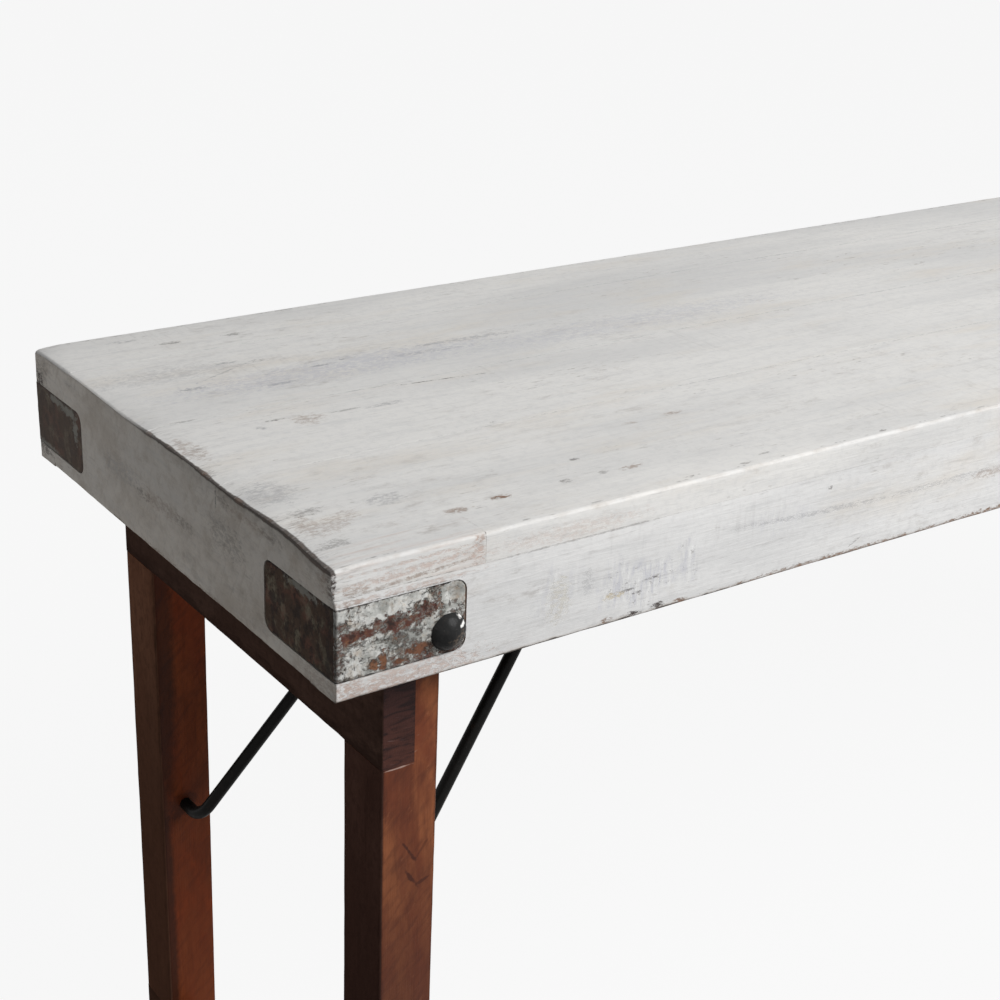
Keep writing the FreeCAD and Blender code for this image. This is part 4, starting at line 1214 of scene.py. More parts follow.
@dataclass(frozen=True)
class BareWood(Grained):
    """Unpainted timber of the underside, grey-brown with age."""

    light: Colour = (0.33, 0.235, 0.15)
    mid: Colour = (0.21, 0.14, 0.085)
    dark: Colour = (0.085, 0.055, 0.035)

    def build(self) -> Material:
        """Lay down grain, rings and stains.

        Returns:
            The material.
        """
        tree = Tree(self.name)
        blotch = self.fibres(tree, 2.0, 16.0, 5.9, 4.0, 0.6)
        colour = tree.lay(self.light, self.mid, blotch, 0.34, 0.68)
        figure = self.fibres(tree, 4.0, 120.0, 2.3, 5.0, 0.6, 0.6)
        colour = tree.lay(colour, self.dark, figure, 0.46, 0.66, 0.75)
        pores = self.fibres(tree, 35.0, 700.0, 7.4, 2.0)
        colour = tree.lay(colour, self.dark, pores, 0.58, 0.72, 0.5)
        splash = tree.noise(26.0, 3.3, 5.0, 0.65)
        colour = tree.lay(colour, (0.62, 0.60, 0.56), splash, 0.66, 0.72, 0.55)
        normal = tree.bump(tree.plus(figure, pores), 0.35 * MM)
        return tree.finish(colour, tree.line(figure, 0.15, 0.66), normal, gloss=0.25)


# Painted highlights: two bright spots on each bolt head's upper rim, where the lamp's glint shows
BOLT_PAINTED_GLINTS = BOLT_HEAD.marks({
    Tone.GREY: ((-816.5, 711.0, 2.6, 1.5, 1.0, 0.3), (-816.8, 706.4, 3.0, 1.5, 1.0, -0.4))})
BOLT_RUBS = (Face(Axis.X, Axis.Z, -229, 6).mark(-820, 697.5, 8, 5, Tone.GREY, 1.0, -0.6),
             Face(Axis.X, Axis.Z, -231, 4).mark(-827.5, 711.5, 5, 1.2, Tone.GREY, 0.6, -0.5))


@dataclass(frozen=True)
class BlackSteel:
    """Blackened steel, handled until its high places wear grey, with painted highlights where they are given.
    """

    name: str
    base: Colour = (0.010, 0.010, 0.011)
    grey: Colour = (0.055, 0.052, 0.050)
    rust: Colour = (0.050, 0.026, 0.018)
    roughness: float = 0.40
    gloss: float = 0.12
    worn: float = 0.5
    # The colour of the painted highlights
    bright: Colour = (0.80, 0.79, 0.77)
    brown: Colour = (0.12, 0.095, 0.075)
    # Places of painted highlight
    flecks: tuple[Mark, ...] = ()
    rubs: tuple[Mark, ...] = ()

    def build(self) -> Material:
        """Lay down black, rubbed grey, a little rust and the painted highlights.

        Returns:
            The material.
        """
        tree = Tree(self.name)
        cloud = tree.noise(70.0, 2.7, 5.0, 0.6)
        colour = tree.lay(self.base, self.grey, cloud, 0.50, 0.74, self.worn)
        specks = tree.noise(520.0, 6.6, 3.0, 0.6)
        colour = tree.lay(colour, self.grey, specks, 0.62, 0.72, self.worn)
        rusty = tree.noise(140.0, 4.9, 4.0, 0.6)
        colour = tree.lay(colour, self.rust, rusty, 0.62, 0.76, self.worn)
        frayed = tree.swing(tree.noise(260.0, 11.0, 4.0, 0.7), 2.4)
        if self.rubs:
            rubbed = tree.spots(self.rubs, frayed)
            colour = tree.mix(tree.times(rubbed, tree.band(specks, 0.42, 0.60)), colour, self.brown)
        # Painted highlights: bright spots that stand for the lamp's glint
        if self.flecks:
            colour = tree.mix(tree.spots(self.flecks, frayed), colour, self.bright)
        roughness = tree.line(cloud, 0.25, self.roughness - 0.12)
        normal = tree.bump(tree.plus(specks, cloud), 0.15 * MM)
        return tree.finish(colour, roughness, normal, gloss=self.gloss)


@dataclass(frozen=True)
class ZincSteel:
    """Dulled zinc plating with dirt in its hollows."""

    name: str = "dull_zinc"
    bright: Colour = (0.30, 0.295, 0.285)
    dull: Colour = (0.19, 0.185, 0.178)
    dirt: Colour = (0.085, 0.06, 0.045)

    def build(self) -> Material:
        """Lay down plating, dulling and dirt.

        Returns:
            The material.
        """
        tree = Tree(self.name)
        spangle = tree.noise(180.0, 1.3, 4.0, 0.6)
        colour = tree.lay(self.bright, self.dull, spangle, 0.38, 0.64)
        grime = tree.noise(90.0, 8.2, 5.0, 0.65)
        dirty = tree.band(grime, 0.46, 0.74, 0.80)
        colour = tree.mix(dirty, colour, self.dirt)
        metal = tree.minus(1.0, dirty)
        roughness = tree.line(dirty, 0.3, 0.42)
        normal = tree.bump(tree.plus(spangle, grime), 0.12 * MM)
        return tree.finish(colour, roughness, normal, metal)


def coat(finish: type, *words: object, **settings: object) -> Material:
    """A field of Finishes that builds a finish of a class from its values."""
    return field(default_factory=lambda: finish(*words, **settings).build())


@dataclass
class Finishes:
    """Every finish of the table, each built once."""

    top: dict[str, Material] = field(default_factory=lambda: {node: plank_paint(node) for node in PLANKS})
    front: Material = coat(
        Whitewash, "whitewashed_apron", Axis.X, (0.775, 0.770, 0.762), marks=FRONT_MARKS,
        torn_places=TORN_PLACES)
    end: Material = coat(
        Whitewash, "whitewashed_end", Axis.Y, (0.790, 0.735, 0.665), (0.565, 0.548, 0.520), stains=0.55,
        marks=END_MARKS)
    patch: Material = coat(Whitewash, "whitewashed_patch", Axis.X, pink=0.4, marks=PATCH_MARKS)
    strap: Material = coat(StrapIron)
    leg: Material = coat(StainedWood, "stained_leg", Axis.Z, marks=LEG_MARKS)
    # A darker copy of the leg stain, without gloss, for the front legs' outer faces: painted shade
    leg_outside: Material = coat(
        StainedWood, "stained_leg_outside", Axis.Z, (0.150, 0.077, 0.058), (0.120, 0.060, 0.045),
        (0.066, 0.033, 0.026), (0.20, 0.12, 0.09), 0.0, (0.16, 0.085, 0.065))
    # A darker copy of the back legs' stain, without gloss, for their outer faces: painted shade
    back_leg_outside: Material = coat(
        StainedWood, "stained_back_leg_outside", Axis.Z, (0.302, 0.144, 0.088), (0.246, 0.114, 0.069),
        (0.110, 0.052, 0.034), (0.25, 0.15, 0.11), 0.0, (0.26, 0.13, 0.085))
    # A redder, lighter copy of the leg stain for the back legs, whose front faces stand in the top's shade:
    # painted light
    back_leg: Material = coat(
        StainedWood, "stained_back_leg", Axis.Z, (0.440, 0.106, 0.029), (0.300, 0.058, 0.016),
        (0.086, 0.021, 0.009), fleck=(0.34, 0.115, 0.045), marks=LEG_MARKS)
    # A duller copy of the stain, without gloss, for the stretchers' outer faces: painted shade
    stretcher_outside: Material = coat(
        StainedWood, "stained_stretcher_outside", Axis.Y, (0.215, 0.110, 0.072), (0.175, 0.087, 0.056),
        (0.096, 0.047, 0.032), (0.25, 0.15, 0.11), 0.0, (0.23, 0.12, 0.08))
    rail: Material = coat(StainedWood, "stained_rail", Axis.Y)
    # A darker copy of the rail stain, without gloss, for the top rails' outer faces: painted shade
    rail_outside: Material = coat(
        StainedWood, "stained_rail_outside", Axis.Y, (0.138, 0.080, 0.061), (0.110, 0.063, 0.048),
        (0.060, 0.034, 0.027), (0.20, 0.12, 0.09), 0.0, (0.16, 0.085, 0.065))
    rail_end: Material = coat(EndGrain)
    under: Material = coat(BareWood, "bare_underside", Axis.X)
    batten: Material = coat(BareWood, "bare_batten", Axis.Y)
    rod: Material = coat(
        BlackSteel, "black_rod", base=(0.007, 0.0066, 0.006), grey=(0.030, 0.028, 0.026), gloss=0.08)
    bolt: Material = coat(
        BlackSteel, "black_bolt", base=(0.024, 0.024, 0.024), roughness=0.28, gloss=0.05, worn=0.8,
        flecks=BOLT_PAINTED_GLINTS, rubs=BOLT_RUBS)
    zinc: Material = coat(ZincSteel)


@dataclass
class SubAssembly:
    """Pieces that are dressed and reported alike."""

    finishes: Finishes

    @staticmethod
    def dress(piece: Piece, body: str, slot: str, nodes: Sequence[str], materials: Sequence[Material]) -> None:
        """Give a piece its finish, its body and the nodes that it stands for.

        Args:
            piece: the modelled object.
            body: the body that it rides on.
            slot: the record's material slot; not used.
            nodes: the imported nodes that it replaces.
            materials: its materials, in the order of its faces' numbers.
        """
        for material in materials:
            piece.data.materials.append(material)
        Bench.smooth(piece)
        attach(piece, body)
        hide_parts(*nodes)
        LOG.info("%s: %d faces on %s", piece.name, len(piece.data.polygons), body)

    @staticmethod
    def paint(node: str, material: Material) -> None:
        """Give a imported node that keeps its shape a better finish.

        Args:
            node: the node's name.
            material: the finish.
        """
        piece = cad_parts[node]
        for slot in piece.material_slots:
            slot.material = material
        LOG.info("%s: kept, in %s", node, material.name)

    @staticmethod
    def number_faces(piece: Piece, wanted: Callable[[bpy.types.MeshPolygon], bool], number: int) -> None:
        """Give the faces that pass a test another of the piece's materials.

        Args:
            piece: the object.
            wanted: the test.
            number: the material's number.
        """
        for face in piece.data.polygons:
            if wanted(face):
                face.material_index = number


@dataclass
class TopBlock(SubAssembly):
    """The planks and aprons, which wear as one block."""

    box: Block = field(default_factory=lambda: Block.of(*PLANKS, "apron_front", "apron_back"))
    edge_round: float = 2.6 * MM
    end_round: float = 1.3 * MM
    end_reach: float = 9.0 * MM
    corner_round: float = 1.4 * MM
    back_corner_round: float = 5.5 * MM
    end_softening: float = 2.6 * MM
    joint_round: float = 0.12 * MM
    bottom_round: float = 2.0 * MM
    segment: float = 6.0 * MM
    strip: float = 10.0 * MM
    chip_reach: float = 6.5 * MM
    chip_grain: float = 11.0 * MM
    chip_depth: float = 0.7 * MM
    wave_grain: float = 75.0 * MM
    wave_depth: float = 1.2 * MM
    sag_run: float = 24.0 * MM
    deepest_sag: float = 2.2 * MM
    sag_height: float = 12.0 * MM
    least_sag: float = 0.08
    # Dips of the left end: millimetres from the front, spread in millimetres, share of the deepest sag
    dips: tuple[Triple, ...] = ((3.0, 16.0, 0.30), (133.0, 30.0, 0.85), (287.0, 42.0, 0.70), (450.0, 14.0, 0.8))
    flare_run: float = 60.0 * MM
    most_flare: float = 3.1 * MM
    # Where the flare starts to fade and how far it fades, in millimetres from the front and from the top
    flare_depth: tuple[float, float] = (12.0, 50.0)
    flare_drop: tuple[float, float] = (8.0, 22.0)
    wave_level: float = 0.9
    chip_level: float = 0.75
    # Distances of the extra rows of points from a plank's end and lower face, and the strip's from its front
    end_rows: tuple[float, float] = (9.0 * MM, 18.0 * MM)
    low_rows: tuple[float, float] = (7.0 * MM, 14.0 * MM)
    strip_rows: tuple[float, float] = (9.0 * MM, 17.0 * MM)
    # The aprons' shares of a plank's segment and joint_round
    apron_spacing: float = 0.8
    apron_joint: float = 0.6
    apron_row: float = 8.5 * MM
    apron_rows: int = 7
    inner_round: float = 1.0 * MM
    notch_room: float = 0.03 * MM
    notch_height: float = 5.0 * MM
    notch_overrun: float = 9.0 * MM
    under_depth: float = 19.5 * MM
    seat_room: float = 0.25 * MM
    seat_overrun: float = 6.0 * MM
    inner_skin: float = 0.5 * MM

    def end_sag(self, point: Vector) -> float:
        """How far the top's left end is worn down at a point, as a share of the deepest place.

        Args:
            point: a point of a board.

        Returns:
            The share.
        """
        run = (point.x - self.box.low.x) / self.sag_run
        if run > 1.0 or point.z < self.box.high.z - self.sag_height:
            return 0.0
        from_front = (point.y - self.box.low.y) / MM
        depth = self.least_sag + sum(part * math.exp(-((from_front - place) / spread) ** 2)
                                     for place, spread, part in self.dips)
        return depth * (1.0 - run) ** 2

    @staticmethod
    def fade(distance: float, start: float, run: float) -> float:
        """1 up to a start, then a soft fall to 0 over a run."""
        return 0.5 + 0.5 * math.cos(math.pi * min(max((distance - start) / run, 0.0), 1.0))

    def corner_flare(self, point: Vector) -> float:
        """How far the front left corner of the planks stands out past the apron, as a share of the most.

        Args:
            point: a point of a board.

        Returns:
            The share.
        """
        run = (point.x - self.box.low.x) / self.flare_run
        from_front = (point.y - self.box.low.y) / MM
        below = (self.box.high.z - point.z) / MM
        if run > 1.0:
            return 0.0
        return self.fade(from_front, *self.flare_depth) * self.fade(below, *self.flare_drop) * (1.0 - run)

    def end_edge(self, point: Vector) -> float:
        """How near a point was to the top edge of the table's end before it wore, from 0 to 1.

        Args:
            point: a point of a board.

        Returns:
            The closeness.
        """
        past_end = min(point.x - self.box.low.x, self.box.high.x - point.x)
        past_end += self.corner_flare(point) * self.most_flare
        below = self.box.high.z - point.z - self.end_sag(point) * self.deepest_sag
        return max(0.0, 1.0 - max(past_end, below) / self.end_reach)

    def chipped(self, point: Vector) -> float:
        """How much an edge may be chipped at a point.

        Args:
            point: a point of a board.

        Returns:
            A share of the deepest chips.
        """
        gap, pair = self.box.edge_gap(point)
        wear = UPPER_WEAR if point.z > (self.box.low.z + self.box.high.z) / 2 else LOWER_WEAR
        return max(0.0, 1.0 - gap / self.chip_reach) * wear[pair]

    def roughen(self, piece: Piece) -> None:
        """Wear a piece's outer edges and leave its faces slightly uneven.

        Args:
            piece: the board.
        """
        Bench.push(piece, "sag", self.end_sag, -self.deepest_sag, "Z")
        Bench.push(piece, "flare", self.corner_flare, -self.most_flare, "X")
        chips = Bench.weigh(piece, "chips", self.chipped)
        Bench.uneven(piece, "edge_waves", self.wave_grain, self.wave_depth, self.wave_level, chips)
        Bench.uneven(piece, "edge_chips", self.chip_grain, self.chip_depth, self.chip_level, chips)

    def finish_board(self, piece: Piece, node: str, *materials: Material) -> None:
        """Clear a board's working groups and dress it.

        Args:
            piece: the board.
            node: the node that it replaces.
            materials: its materials, in the order of its faces' numbers.
        """
        piece.vertex_groups.clear()
        Bench.note(piece, "end_edge", self.end_edge)
        self.dress(piece, "table_top", "whitewashed_wood", [node], materials)

    def plank(self, node: str, outer: int) -> Piece:
        """One plank, rounded on the edge that faces out.

        Args:
            node: the node that gives its place.
            outer: -1 for the front plank, 1 for the back plank, otherwise 0.

        Returns:
            The plank, not yet dressed.
        """
        block = Block.of(node)
        piece = Bench.cube(f"{node}_board", block)
        back = max((block.high.y + block.low.y) / (self.box.high.y - self.box.low.y), 0.0)
        end_round = self.end_round + back * self.end_softening
        arrises = [Arris(Axis.Y, (side, 1), end_round) for side in (-1, 1)]
        for side in (-1, 1):
            radius = self.edge_round if side == outer else self.joint_round
            arrises.append(Arris(Axis.X, (side, 1), radius))
            arrises.append(Arris(Axis.X, (side, -1), self.joint_round))
            if side == outer:
                upright = self.corner_round if side < 0 else self.back_corner_round
                arrises += [Arris(Axis.Z, (end, side), upright) for end in (-1, 1)]
        Bench.round_arrises(piece, block, arrises)
        width = block.high.y - block.low.y
        count = max(int(width / self.strip), 2)
        Bench.divide(piece, Axis.X, int((block.high.x - block.low.x) / self.segment))
        Bench.slice(piece, Axis.Y, [block.low.y + width * step / count for step in range(1, count)])
        Bench.slice(piece, Axis.Z, [block.low.z + row for row in self.low_rows])
        Bench.slice(piece, Axis.X, [block.low.x + row for row in self.end_rows])
        self.roughen(piece)
        return piece

    def planks(self) -> None:
        """The four planks, the front one notched for the strip, and the strip itself."""
        outer = {"plank_front": -1, "plank_back": 1}
        for node in PLANKS:
            piece = self.plank(node, outer.get(node, 0))
            if node == "plank_front":
                notch = Block.of("edge_patch").grown((self.notch_room, self.notch_room, self.notch_height))
                notch.low -= Vector((self.notch_overrun, self.notch_overrun, 0.0))
                Bench.carve(piece, Bench.cube("notch", notch))
            underside = self.box.high.z - self.under_depth
            self.number_faces(piece, lambda face: face.center.z < underside and face.normal.z < -FACING, 1)
            self.number_faces(piece, lambda face: abs(face.normal.x) > FACING, 2)
            self.finish_board(piece, node, self.finishes.top[node], self.finishes.under, self.finishes.end)
        strip = Block.of("edge_patch")
        piece = Bench.cube("edge_patch_strip", strip)
        Bench.round_arrises(piece, strip, [
            Arris(Axis.X, (-1, 1), self.edge_round), Arris(Axis.Y, (-1, 1), self.end_round),
            Arris(Axis.X, (-1, -1), self.joint_round), Arris(Axis.Y, (1, 1), self.joint_round),
            Arris(Axis.Z, (1, -1), self.joint_round), Arris(Axis.Z, (-1, -1), self.corner_round)])
        Bench.divide(piece, Axis.X, int((strip.high.x - strip.low.x) / self.segment))
        Bench.slice(piece, Axis.Y, [strip.low.y + row for row in self.strip_rows])
        Bench.slice(piece, Axis.Z, [strip.low.z + row for row in self.low_rows])
        Bench.slice(piece, Axis.X, [strip.low.x + self.end_rows[0]])
        self.roughen(piece)
        self.number_faces(piece, lambda face: face.normal.x < -FACING, 1)
        self.finish_board(piece, "edge_patch", self.finishes.patch, self.finishes.end)

    def apron(self, node: str, along: Axis, out: int, straps: Sequence[str], finish: Material) -> None:
        """One apron board with its strap seats.

        Args:
            node: the node that gives its place.
            along: the way the board runs.
            out: the sign of the way its outer face looks.
            straps: the straps let into it.
            finish: its paint.
        """
        block = Block.of(node)
        piece = Bench.cube(f"{node}_board", block)
        arrises = [Arris(along, (out, -1), self.bottom_round), Arris(along, (-out, -1), self.inner_round),
                   Arris(along, (out, 1), self.joint_round * self.apron_joint)]
        if along is Axis.X:
            upright = self.corner_round if out < 0 else self.back_corner_round
            arrises += [Arris(Axis.Z, (end, out), upright) for end in (-1, 1)]
        Bench.round_arrises(piece, block, arrises)
        length = block.high[along.value] - block.low[along.value]
        Bench.divide(piece, along, int(length / (self.segment * self.apron_spacing)))
        rows = range(1, self.apron_rows + 1)
        Bench.slice(piece, Axis.Z, [block.low.z + self.apron_row * row for row in rows])
        across = Axis.Y if along is Axis.X else Axis.X
        Bench.slice(piece, across, [(block.low[across.value] + block.high[across.value]) / 2])
        self.roughen(piece)
        for strap in straps:
            seat = CornerStraps.plate("seat", Block.of(strap), room=self.seat_room, proud=self.seat_overrun)
            Bench.carve(piece, seat)
        inner = block.near(across)
        self.number_faces(piece, lambda face: abs(face.center[across.value] - inner) < self.inner_skin, 1)
        if along is Axis.X:
            self.number_faces(piece, lambda face: abs(face.normal.x) > CUT_FACING, 2)
        self.finish_board(piece, node, finish, self.finishes.under, self.finishes.end)

    def aprons(self) -> None:
        """The four apron boards."""
        for side, out in (("front", -1), ("back", 1)):
            straps = [f"corner_strap_{side}_{end}" for end in ("left", "right")]
            self.apron(f"apron_{side}", Axis.X, out, straps, self.finishes.front)
        for end, out in (("left", -1), ("right", 1)):
            straps = [f"corner_strap_{side}_{end}" for side in ("front", "back")]
            self.apron(f"apron_{end}", Axis.Y, out, straps, self.finishes.end)

    def build(self) -> None:
        """Model and dress the whole block."""
        self.planks()
        self.aprons()


@dataclass
class CornerStraps(SubAssembly):
    """Flat iron bent round the top's corners."""

    thickness: float = 3.0 * MM
    corner: float = 8.0 * MM
    cell: float = 1.1 * MM
    dish_depth: float = 2.0 * MM
    front_bend: float = 1.2 * MM
    back_bend: float = 5.5 * MM
    # The dished place and the punch marks: millimetres from the table's end and from the strap's lower edge
    dish: tuple[float, float] = (78.5, 38.5)
    dish_reach: tuple[float, float] = (6.5, 6.0)
    punches: tuple[float, ...] = (12.0, 26.3, 46.4, 64.4)
    punch_height: float = 42.0
    punch_scatter: float = 1.2
    punch_radius: float = 2.0
    punch_share: float = 0.45
    skin: float = 1.2 * MM
    scale_grain: float = 9.0 * MM
    scale_depth: float = 0.45 * MM
    scale_level: float = 0.75

    @classmethod
    def plate(cls, name: str, block: Block, room: float = 0.0, proud: float = 0.0, bend: float = 0.0) -> Piece:
        """A bent strap: a front arm extruded round the corner into an end arm.

        Args:
            name: the new object's name.
            block: the strap's box.
            room: how much the outline is grown all round.
            proud: how far the outer faces are moved out.
            bend: the outer rounding of the bend.

        Returns:
            The plate.
        """
        outer, inner, ends = [], [], []
        for axis in (Axis.X, Axis.Y):
            out = math.copysign(1.0, block.far(axis))
            outer.append(block.far(axis) + out * proud)
            inner.append(block.far(axis) - out * cls.thickness)
            ends.append(block.near(axis) - out * room)
        (outer_x, outer_y), (inner_x, inner_y), (end_x, end_y) = outer, inner, ends
        low_z, high_z = block.low.z - room, block.high.z + room
        arm = Block(Vector((min(outer_x, end_x), min(outer_y, inner_y), low_z)),
                    Vector((max(outer_x, end_x), max(outer_y, inner_y), high_z)))
        piece = Bench.cube(name, arm)
        Bench.slice(piece, Axis.X, [inner_x])
        with Bench.editing(piece):
            Bench.pick(piece, Kind.FACE, lambda face: (
                abs(face.normal.y) > 0.9 and abs(face.calc_center_median().y - inner_y) < TOUCH
                and abs(face.calc_center_median().x - (inner_x + outer_x) / 2) < TOUCH))
            bpy.ops.mesh.extrude_region_move(
                TRANSFORM_OT_translate={"value": (0.0, end_y - inner_y, 0.0)})
            Bench.pick(piece, Kind.EDGE, lambda edge: (
                (Bench.runs_along(edge, Axis.Y) and abs(edge.verts[0].co.x - end_x) < TOUCH)
                or (Bench.runs_along(edge, Axis.X) and abs(edge.verts[0].co.y - end_y) < TOUCH)))
            bpy.ops.mesh.bevel(offset=cls.corner + room, offset_type="OFFSET", segments=7, affect="EDGES")
            if bend:
                Bench.pick(piece, Kind.EDGE, lambda edge: (
                    Bench.runs_along(edge, Axis.Z) and abs(edge.verts[0].co.x - outer_x) < TOUCH
                    and abs(edge.verts[0].co.y - outer_y) < TOUCH))
                bpy.ops.mesh.bevel(offset=bend, offset_type="OFFSET", segments=6, affect="EDGES")
            bpy.ops.mesh.select_all(action="SELECT")
            bpy.ops.mesh.normals_make_consistent(inside=False)
        return piece

    def build(self) -> None:
        """Model, batter and dress the four straps."""
        for side in ("front", "back"):
            for end in ("left", "right"):
                node = f"corner_strap_{side}_{end}"
                block = Block.of(node)
                bend = self.front_bend if side == "front" else self.back_bend
                piece = self.plate(f"{node}_iron", block, bend=bend)
                Bench.modify(piece, "REMESH", mode="VOXEL", voxel_size=self.cell)
                self.batter(piece, block)
                self.dress(piece, "table_top", "painted_strap_iron", [node], [self.finishes.strap])

    def batter(self, piece: Piece, block: Block) -> None:
        """Dent a strap: a dished place over the bolt, small punch marks along its top, and rough scale.

        Args:
            piece: the strap.
            block: its box.
        """
        corner, face = block.far(Axis.X), block.far(Axis.Y)

        def hollow(point: Vector) -> float:
            """The dents' depth at a point of the long arm's outer face, as a share of the dished place's.

            Args:
                point: a point of the strap.

            Returns:
                The share.
            """
            if abs(point.y - face) > self.skin:
                return 0.0
            run, up = abs(point.x - corner) / MM, (point.z - block.low.z) / MM
            depth = math.exp(-sum(((here - middle) / reach) ** 2
                                  for here, middle, reach in zip((run, up), self.dish, self.dish_reach)))
            for place in self.punches:
                ring = math.hypot(run - place, up - self.punch_height - self.punch_scatter * math.sin(place))
                depth += self.punch_share * math.exp(-(ring - self.punch_radius) ** 2)
            return depth

        Bench.push(piece, "dents", hollow, -self.dish_depth, "NORMAL")
        Bench.uneven(piece, "scale", self.scale_grain, self.scale_depth, self.scale_level)
        piece.vertex_groups.clear()


@dataclass
class Pivots(SubAssembly):
    """Domed bolts with their washers and nuts."""

    head_radius: float = 12.5 * MM
    head_height: float = 8.0 * MM
    shank_radius: float = 5.0 * MM
    nut_radius: float = 9.8 * MM
    nut_height: float = 8.4 * MM
    thread_radius: float = 5.05 * MM
    tail: float = 4.0 * MM
    tip_round: float = 1.0 * MM
    nut_round: float = 1.3 * MM
    overlap: float = 0.5 * MM
    hammer_grain: float = 7.0 * MM
    hammer_depth: float = 0.9 * MM
    hammer_level: float = 0.8
    rings: int = 48

    @staticmethod
    def round_tip(piece: Piece, tip_y: float, radius: float, segments: int) -> None:
        """Round the edge of a bolt's or nut's free end.

        Args:
            piece: the bolt or nut.
            tip_y: the end's Y.
            radius: the rounding.
            segments: how many flats it has.
        """
        with Bench.editing(piece):
            Bench.pick(piece, Kind.EDGE, lambda edge: all(abs(v.co.y - tip_y) < TOUCH for v in edge.verts))
            bpy.ops.mesh.bevel(offset=radius, segments=segments, affect="EDGES")

    def bolt(self, face: Vector, tip: Vector) -> Piece:
        """A domed bolt, hammered flat in a few places.

        Args:
            face: where its axis meets the strap's face that the head sits on.
            tip: the middle of the shank's end.

        Returns:
            The bolt.
        """
        out = math.copysign(1.0, face.y)
        ball = (self.head_radius ** 2 + self.head_height ** 2) / (2 * self.head_height)
        centre = face + Vector((0.0, out * (self.head_height - ball), 0.0))
        bpy.ops.object.select_all(action="DESELECT")
        bpy.ops.mesh.primitive_uv_sphere_add(segments=self.rings, ring_count=self.rings, radius=ball,
                                             location=centre, rotation=(math.pi / 2, 0.0, 0.0))
        head = Bench.settle(bpy.context.active_object, "bolt_head")
        with Bench.editing(head):
            bpy.ops.mesh.select_all(action="SELECT")
            bpy.ops.mesh.bisect(plane_co=face, plane_no=(0.0, out, 0.0), use_fill=True, clear_inner=True)
        Bench.uneven(head, "hammering", self.hammer_grain, self.hammer_depth, self.hammer_level)
        shank = Bench.rod("bolt_shank", face - Vector((0.0, out * self.overlap, 0.0)), tip, self.shank_radius)
        self.round_tip(shank, tip.y, self.tip_round, 2)
        return Bench.join("pivot_bolt", [head, shank])

    def nut(self, seat: Vector, free: Vector) -> Piece:
        """A hexagon nut with its corners turned down.

        Args:
            seat: the middle of its face on the washer.
            free: the middle of its free face.

        Returns:
            The nut.
        """
        nut = Bench.rod("nut", seat, free, self.nut_radius, 6)
        self.round_tip(nut, free.y, self.nut_round, 3)
        beyond = 2.0 * (free - seat)
        Bench.carve(nut, Bench.rod("thread", seat - beyond, free + beyond, self.thread_radius))
        return nut

    def build(self) -> None:
        """Model and dress the bolts and nuts, and finish the washers."""
        box = Block.of("pivot_bolts")
        nuts_box = Block.of("pivot_nuts")
        xs = (box.low.x + self.head_radius, box.high.x - self.head_radius)
        z = (nuts_box.low.z + nuts_box.high.z) / 2
        bolts, nuts = [], []
        seat = nuts_box.high.y
        free = seat - self.nut_height
        for x in xs:
            for out in (-1, 1):
                face = out * (box.high.y - self.head_height)
                bolts.append(self.bolt(Vector((x, face, z)), Vector((x, out * (free - self.tail), z))))
                nuts.append(self.nut(Vector((x, out * seat, z)), Vector((x, out * free, z))))
        bolt = Bench.join("pivot_bolts_domed", bolts)
        self.dress(bolt, "table_top", "black_steel", ["pivot_bolts"], [self.finishes.bolt])
        nut = Bench.join("pivot_nuts_hexagon", nuts)
        self.dress(nut, "table_top", "zinc_steel", ["pivot_nuts"], [self.finishes.zinc])
        for node in ("pivot_spacers", "nut_washers"):
            self.paint(node, self.finishes.zinc)


